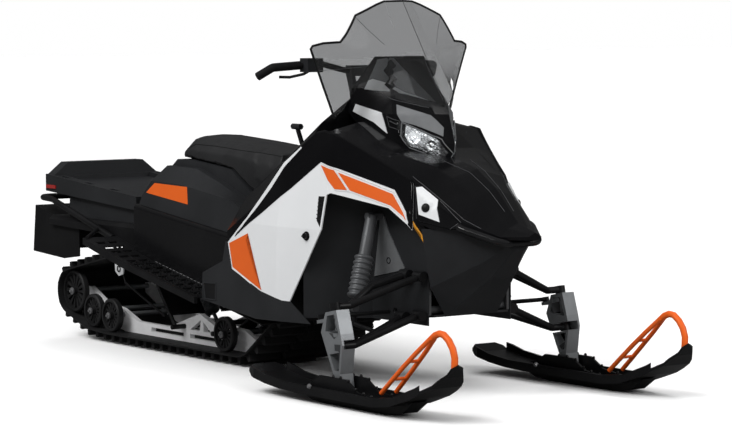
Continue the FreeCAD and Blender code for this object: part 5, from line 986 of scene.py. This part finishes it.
SKI_Y = 515
LOOP_LEG = [(1281, 32, 72), (1330, 30, 114), (1400, 26, 174), (1470, 19, 232), (1534, 8, 285)]
LOOP_BEND = [(1520, 0, 276), (1545, 0, 294), (1570, 0, 303), (1595, 0, 301), (1622, 0, 284), (1644, 0, 258),
             (1655, 0, 228), (1653, 0, 184)]
LOOP_TIES = [(1345, 29, 127), (1425, 24, 195)]
PIVOT = (928, 63)
STUD_FIRST = 1010
STUD_PITCH = 46
STUD_COUNT = 14
STUD_Y = 44
STUD_PROFILE = [(-2, 6), (3, 6), (7, 4), (9, 2)]

ski_plastic = new_finish(
    "ski_plastic", BLACK_PAINT, (0.01, 0.01, 0.0105),
    roughness=0.32, grain=400, height=0.0002, clouds=5, wear=0.6, specular=0.35)
dress(ski_plastic, "ski_left", "ski_right")
loop_orange = new_finish(
    "loop_orange", (0.76, 0.12, 0.012), (0.62, 0.085, 0.01),
    roughness=0.38, grain=400, height=0.0003, clouds=8, wear=0.6, specular=0.35)
for label, side in (("right", -1), ("left", 1)):
    loops = bmesh.new()
    for leg in (-1, 1):
        add_bar(loops, [mm(x, side * SKI_Y + leg * y, z) for x, y, z in LOOP_LEG], radius=8.5, sides=12)
    add_bar(loops, [mm(x, side * SKI_Y + y, z) for x, y, z in LOOP_BEND], radius=12, sides=14)
    for x, y, z in LOOP_TIES:
        add_bar(loops, [mm(x, side * SKI_Y - y, z), mm(x, side * SKI_Y + y, z)], radius=6, sides=10)
    shape = show(f"ski_loop_shape_{label}", loops, loop_orange, f"ski_set_{label}")
    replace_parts(shape, f"ski_loop_{label}")

for label, side in (("right", -1), ("left", 1)):
    ski_skin = skin_of("ski_" + label)
    studs = bmesh.new()
    for k in range(STUD_COUNT):
        for across in (-STUD_Y, STUD_Y):
            above = mm(STUD_FIRST + k * STUD_PITCH, side * SKI_Y + across, 600)
            hit, normal, _, _ = ski_skin.ray_cast(above, Vector((0, 0, -1)))
            if hit is not None and normal.z > 0.5:
                add_turned(studs, hit, normal, STUD_PROFILE, sides=10)
    show(f"ski_studs_{label}", studs, ski_plastic, f"ski_set_{label}")
    bolts = bmesh.new()
    both_skins = skin_of("ski_" + label, "spindle_" + label)
    for face in (-1, 1):
        beside = mm(PIVOT[0], side * SKI_Y + face * 300, PIVOT[1])
        hit, normal, _, _ = both_skins.ray_cast(beside, Vector((0, -face, 0)))
        if hit is not None:
            add_bolt(bolts, hit, (0, face, 0), width=15)
    show(f"ski_pivot_bolts_{label}", bolts, zinc, f"ski_set_{label}")

# Spindles: cast alloy legs that carry the skis and turn about the kingpins.
# Two windows are sunk in the outer face of each casting; a dark film laid in each is painted shade.

SPINDLE_WINDOWS = [[(966, 302), (1000, 314), (1020, 250), (994, 232), (948, 262)],
                   [(996, 214), (1032, 216), (1022, 122), (1006, 122)]]

window_shade = new_finish(
    "window_shade", (0.05, 0.052, 0.055), (0.03, 0.031, 0.033),
    roughness=0.5, grain=700, height=0.0002, clouds=9, wear=0.6, metallic=0.3)
for label, side in (("right", -1), ("left", 1)):
    spindle_skin = skin_of("spindle_" + label)
    windows = bmesh.new()
    for window in SPINDLE_WINDOWS:
        # A dark film in each window: painted shade.
        add_film(windows, window, spindle_skin, side, lift=0.8)
    show(f"spindle_window_shade_{label}", windows, window_shade, f"ski_set_{label}")

# Nose sides: an amber reflector of clear plastic stands behind each cheek.
# A plate of bare alloy sheet, with a bore through it, braces the shock opening.

AMBER = [(985, 632), (1012, 640), (1044, 596), (1036, 548), (1018, 548)]
BRACE_PLATE = [(789, 643), (812, 640), (837, 591), (935, 460), (924, 452), (751, 417)]
PLATE_BORE = (841, 481)
BORE_PROFILE = [(-2, 12), (1.5, 12), (1.5, 9), (-1, 9)]

nose_skin = skin_of("belly_pan", "bulkhead", "nose_plates", "hood")
amber_lens = new_finish(
    "amber_lens", (0.6, 0.26, 0.02), (0.45, 0.18, 0.012),
    roughness=0.2, grain=200, height=0.0006, clouds=12, wear=0.5, coat=0.5)
ambers = bmesh.new()
for side in (-1, 1):
    add_film(ambers, AMBER, nose_skin, side, lift=3)
show("amber_reflectors", ambers, amber_lens, soften=60)
brace_skin = skin_of("bulkhead", "arch_liners", "belly_pan")
plate_alloy = new_finish(
    "plate_alloy", (0.16, 0.165, 0.17), (0.1, 0.103, 0.108),
    roughness=0.4, grain=700, height=0.0002, clouds=8, wear=0.6, metallic=0.3)
brace_plates, bores = bmesh.new(), bmesh.new()
for side in (-1, 1):
    add_film(brace_plates, BRACE_PLATE, brace_skin, side, lift=4)
    place = outer_place(brace_skin, *PLATE_BORE, side, lift=4)
    add_turned(bores, place, (0, side, 0), BORE_PROFILE, sides=24)
show("brace_plates", brace_plates, plate_alloy, soften=60)
show("plate_bores", bores, powder_black)

# Track suspension: a pale painted bracket hangs from each side of the tunnel by a round stem.
# It carries a ring and a thin black control rod, which runs forward to the rails.

BRACKET = [(-1031, 342), (-1018, 349), (-985, 349), (-962, 332), (-966, 298), (-1000, 288), (-1028, 306)]
BRACKET_Y = 226
STEM = (-1000, 345, 470)
RING = (-996, 318)
RING_PROFILE = [(2, 14), (9, 14), (9, 9), (4, 8)]
CONTROL_ROD = [(-979, 300), (-960, 262), (-700, 168), (-660, 150)]

brackets, rods = bmesh.new(), bmesh.new()
for side in (-1, 1):
    add_slab(brackets, [mm(x, side * BRACKET_Y, z) for x, z in BRACKET], mm(0, side * 6, 0), bevel=1)
    add_turned(rods, mm(RING[0], side * BRACKET_Y, RING[1]), (0, side, 0), RING_PROFILE, sides=24)
    add_bar(rods, [mm(STEM[0], side * BRACKET_Y, z) for z in STEM[1:]], radius=7, sides=10)
    add_bar(rods, [mm(x, side * (BRACKET_Y - 4), z) for x, z in CONTROL_ROD], radius=5, sides=10)
show("track_brackets", brackets, panel_white)
show("track_rods", rods, powder_black)

# Handlebar levers: a lever of black cast alloy stands in front of each grip.
# It is bent forward from its block and runs along the grip, within a finger's reach.

BRAKE_LEVER = [(398, 205, 1176), (402, 262, 1150), (392, 318, 1139), (372, 352, 1140)]
LEVER_RADIUS = 5.5

lever_black = new_finish(
    "lever_black", (0.006, 0.006, 0.0065), (0.02, 0.02, 0.021),
    roughness=0.3, grain=500, height=0.0001, clouds=14, wear=0.6, specular=0.4)
levers = bmesh.new()
for side in (-1, 1):
    add_bar(levers, [mm(x, side * y, z) for x, y, z in BRAKE_LEVER], radius=LEVER_RADIUS, sides=10)
show("bar_levers", levers, lever_black, "handlebar")
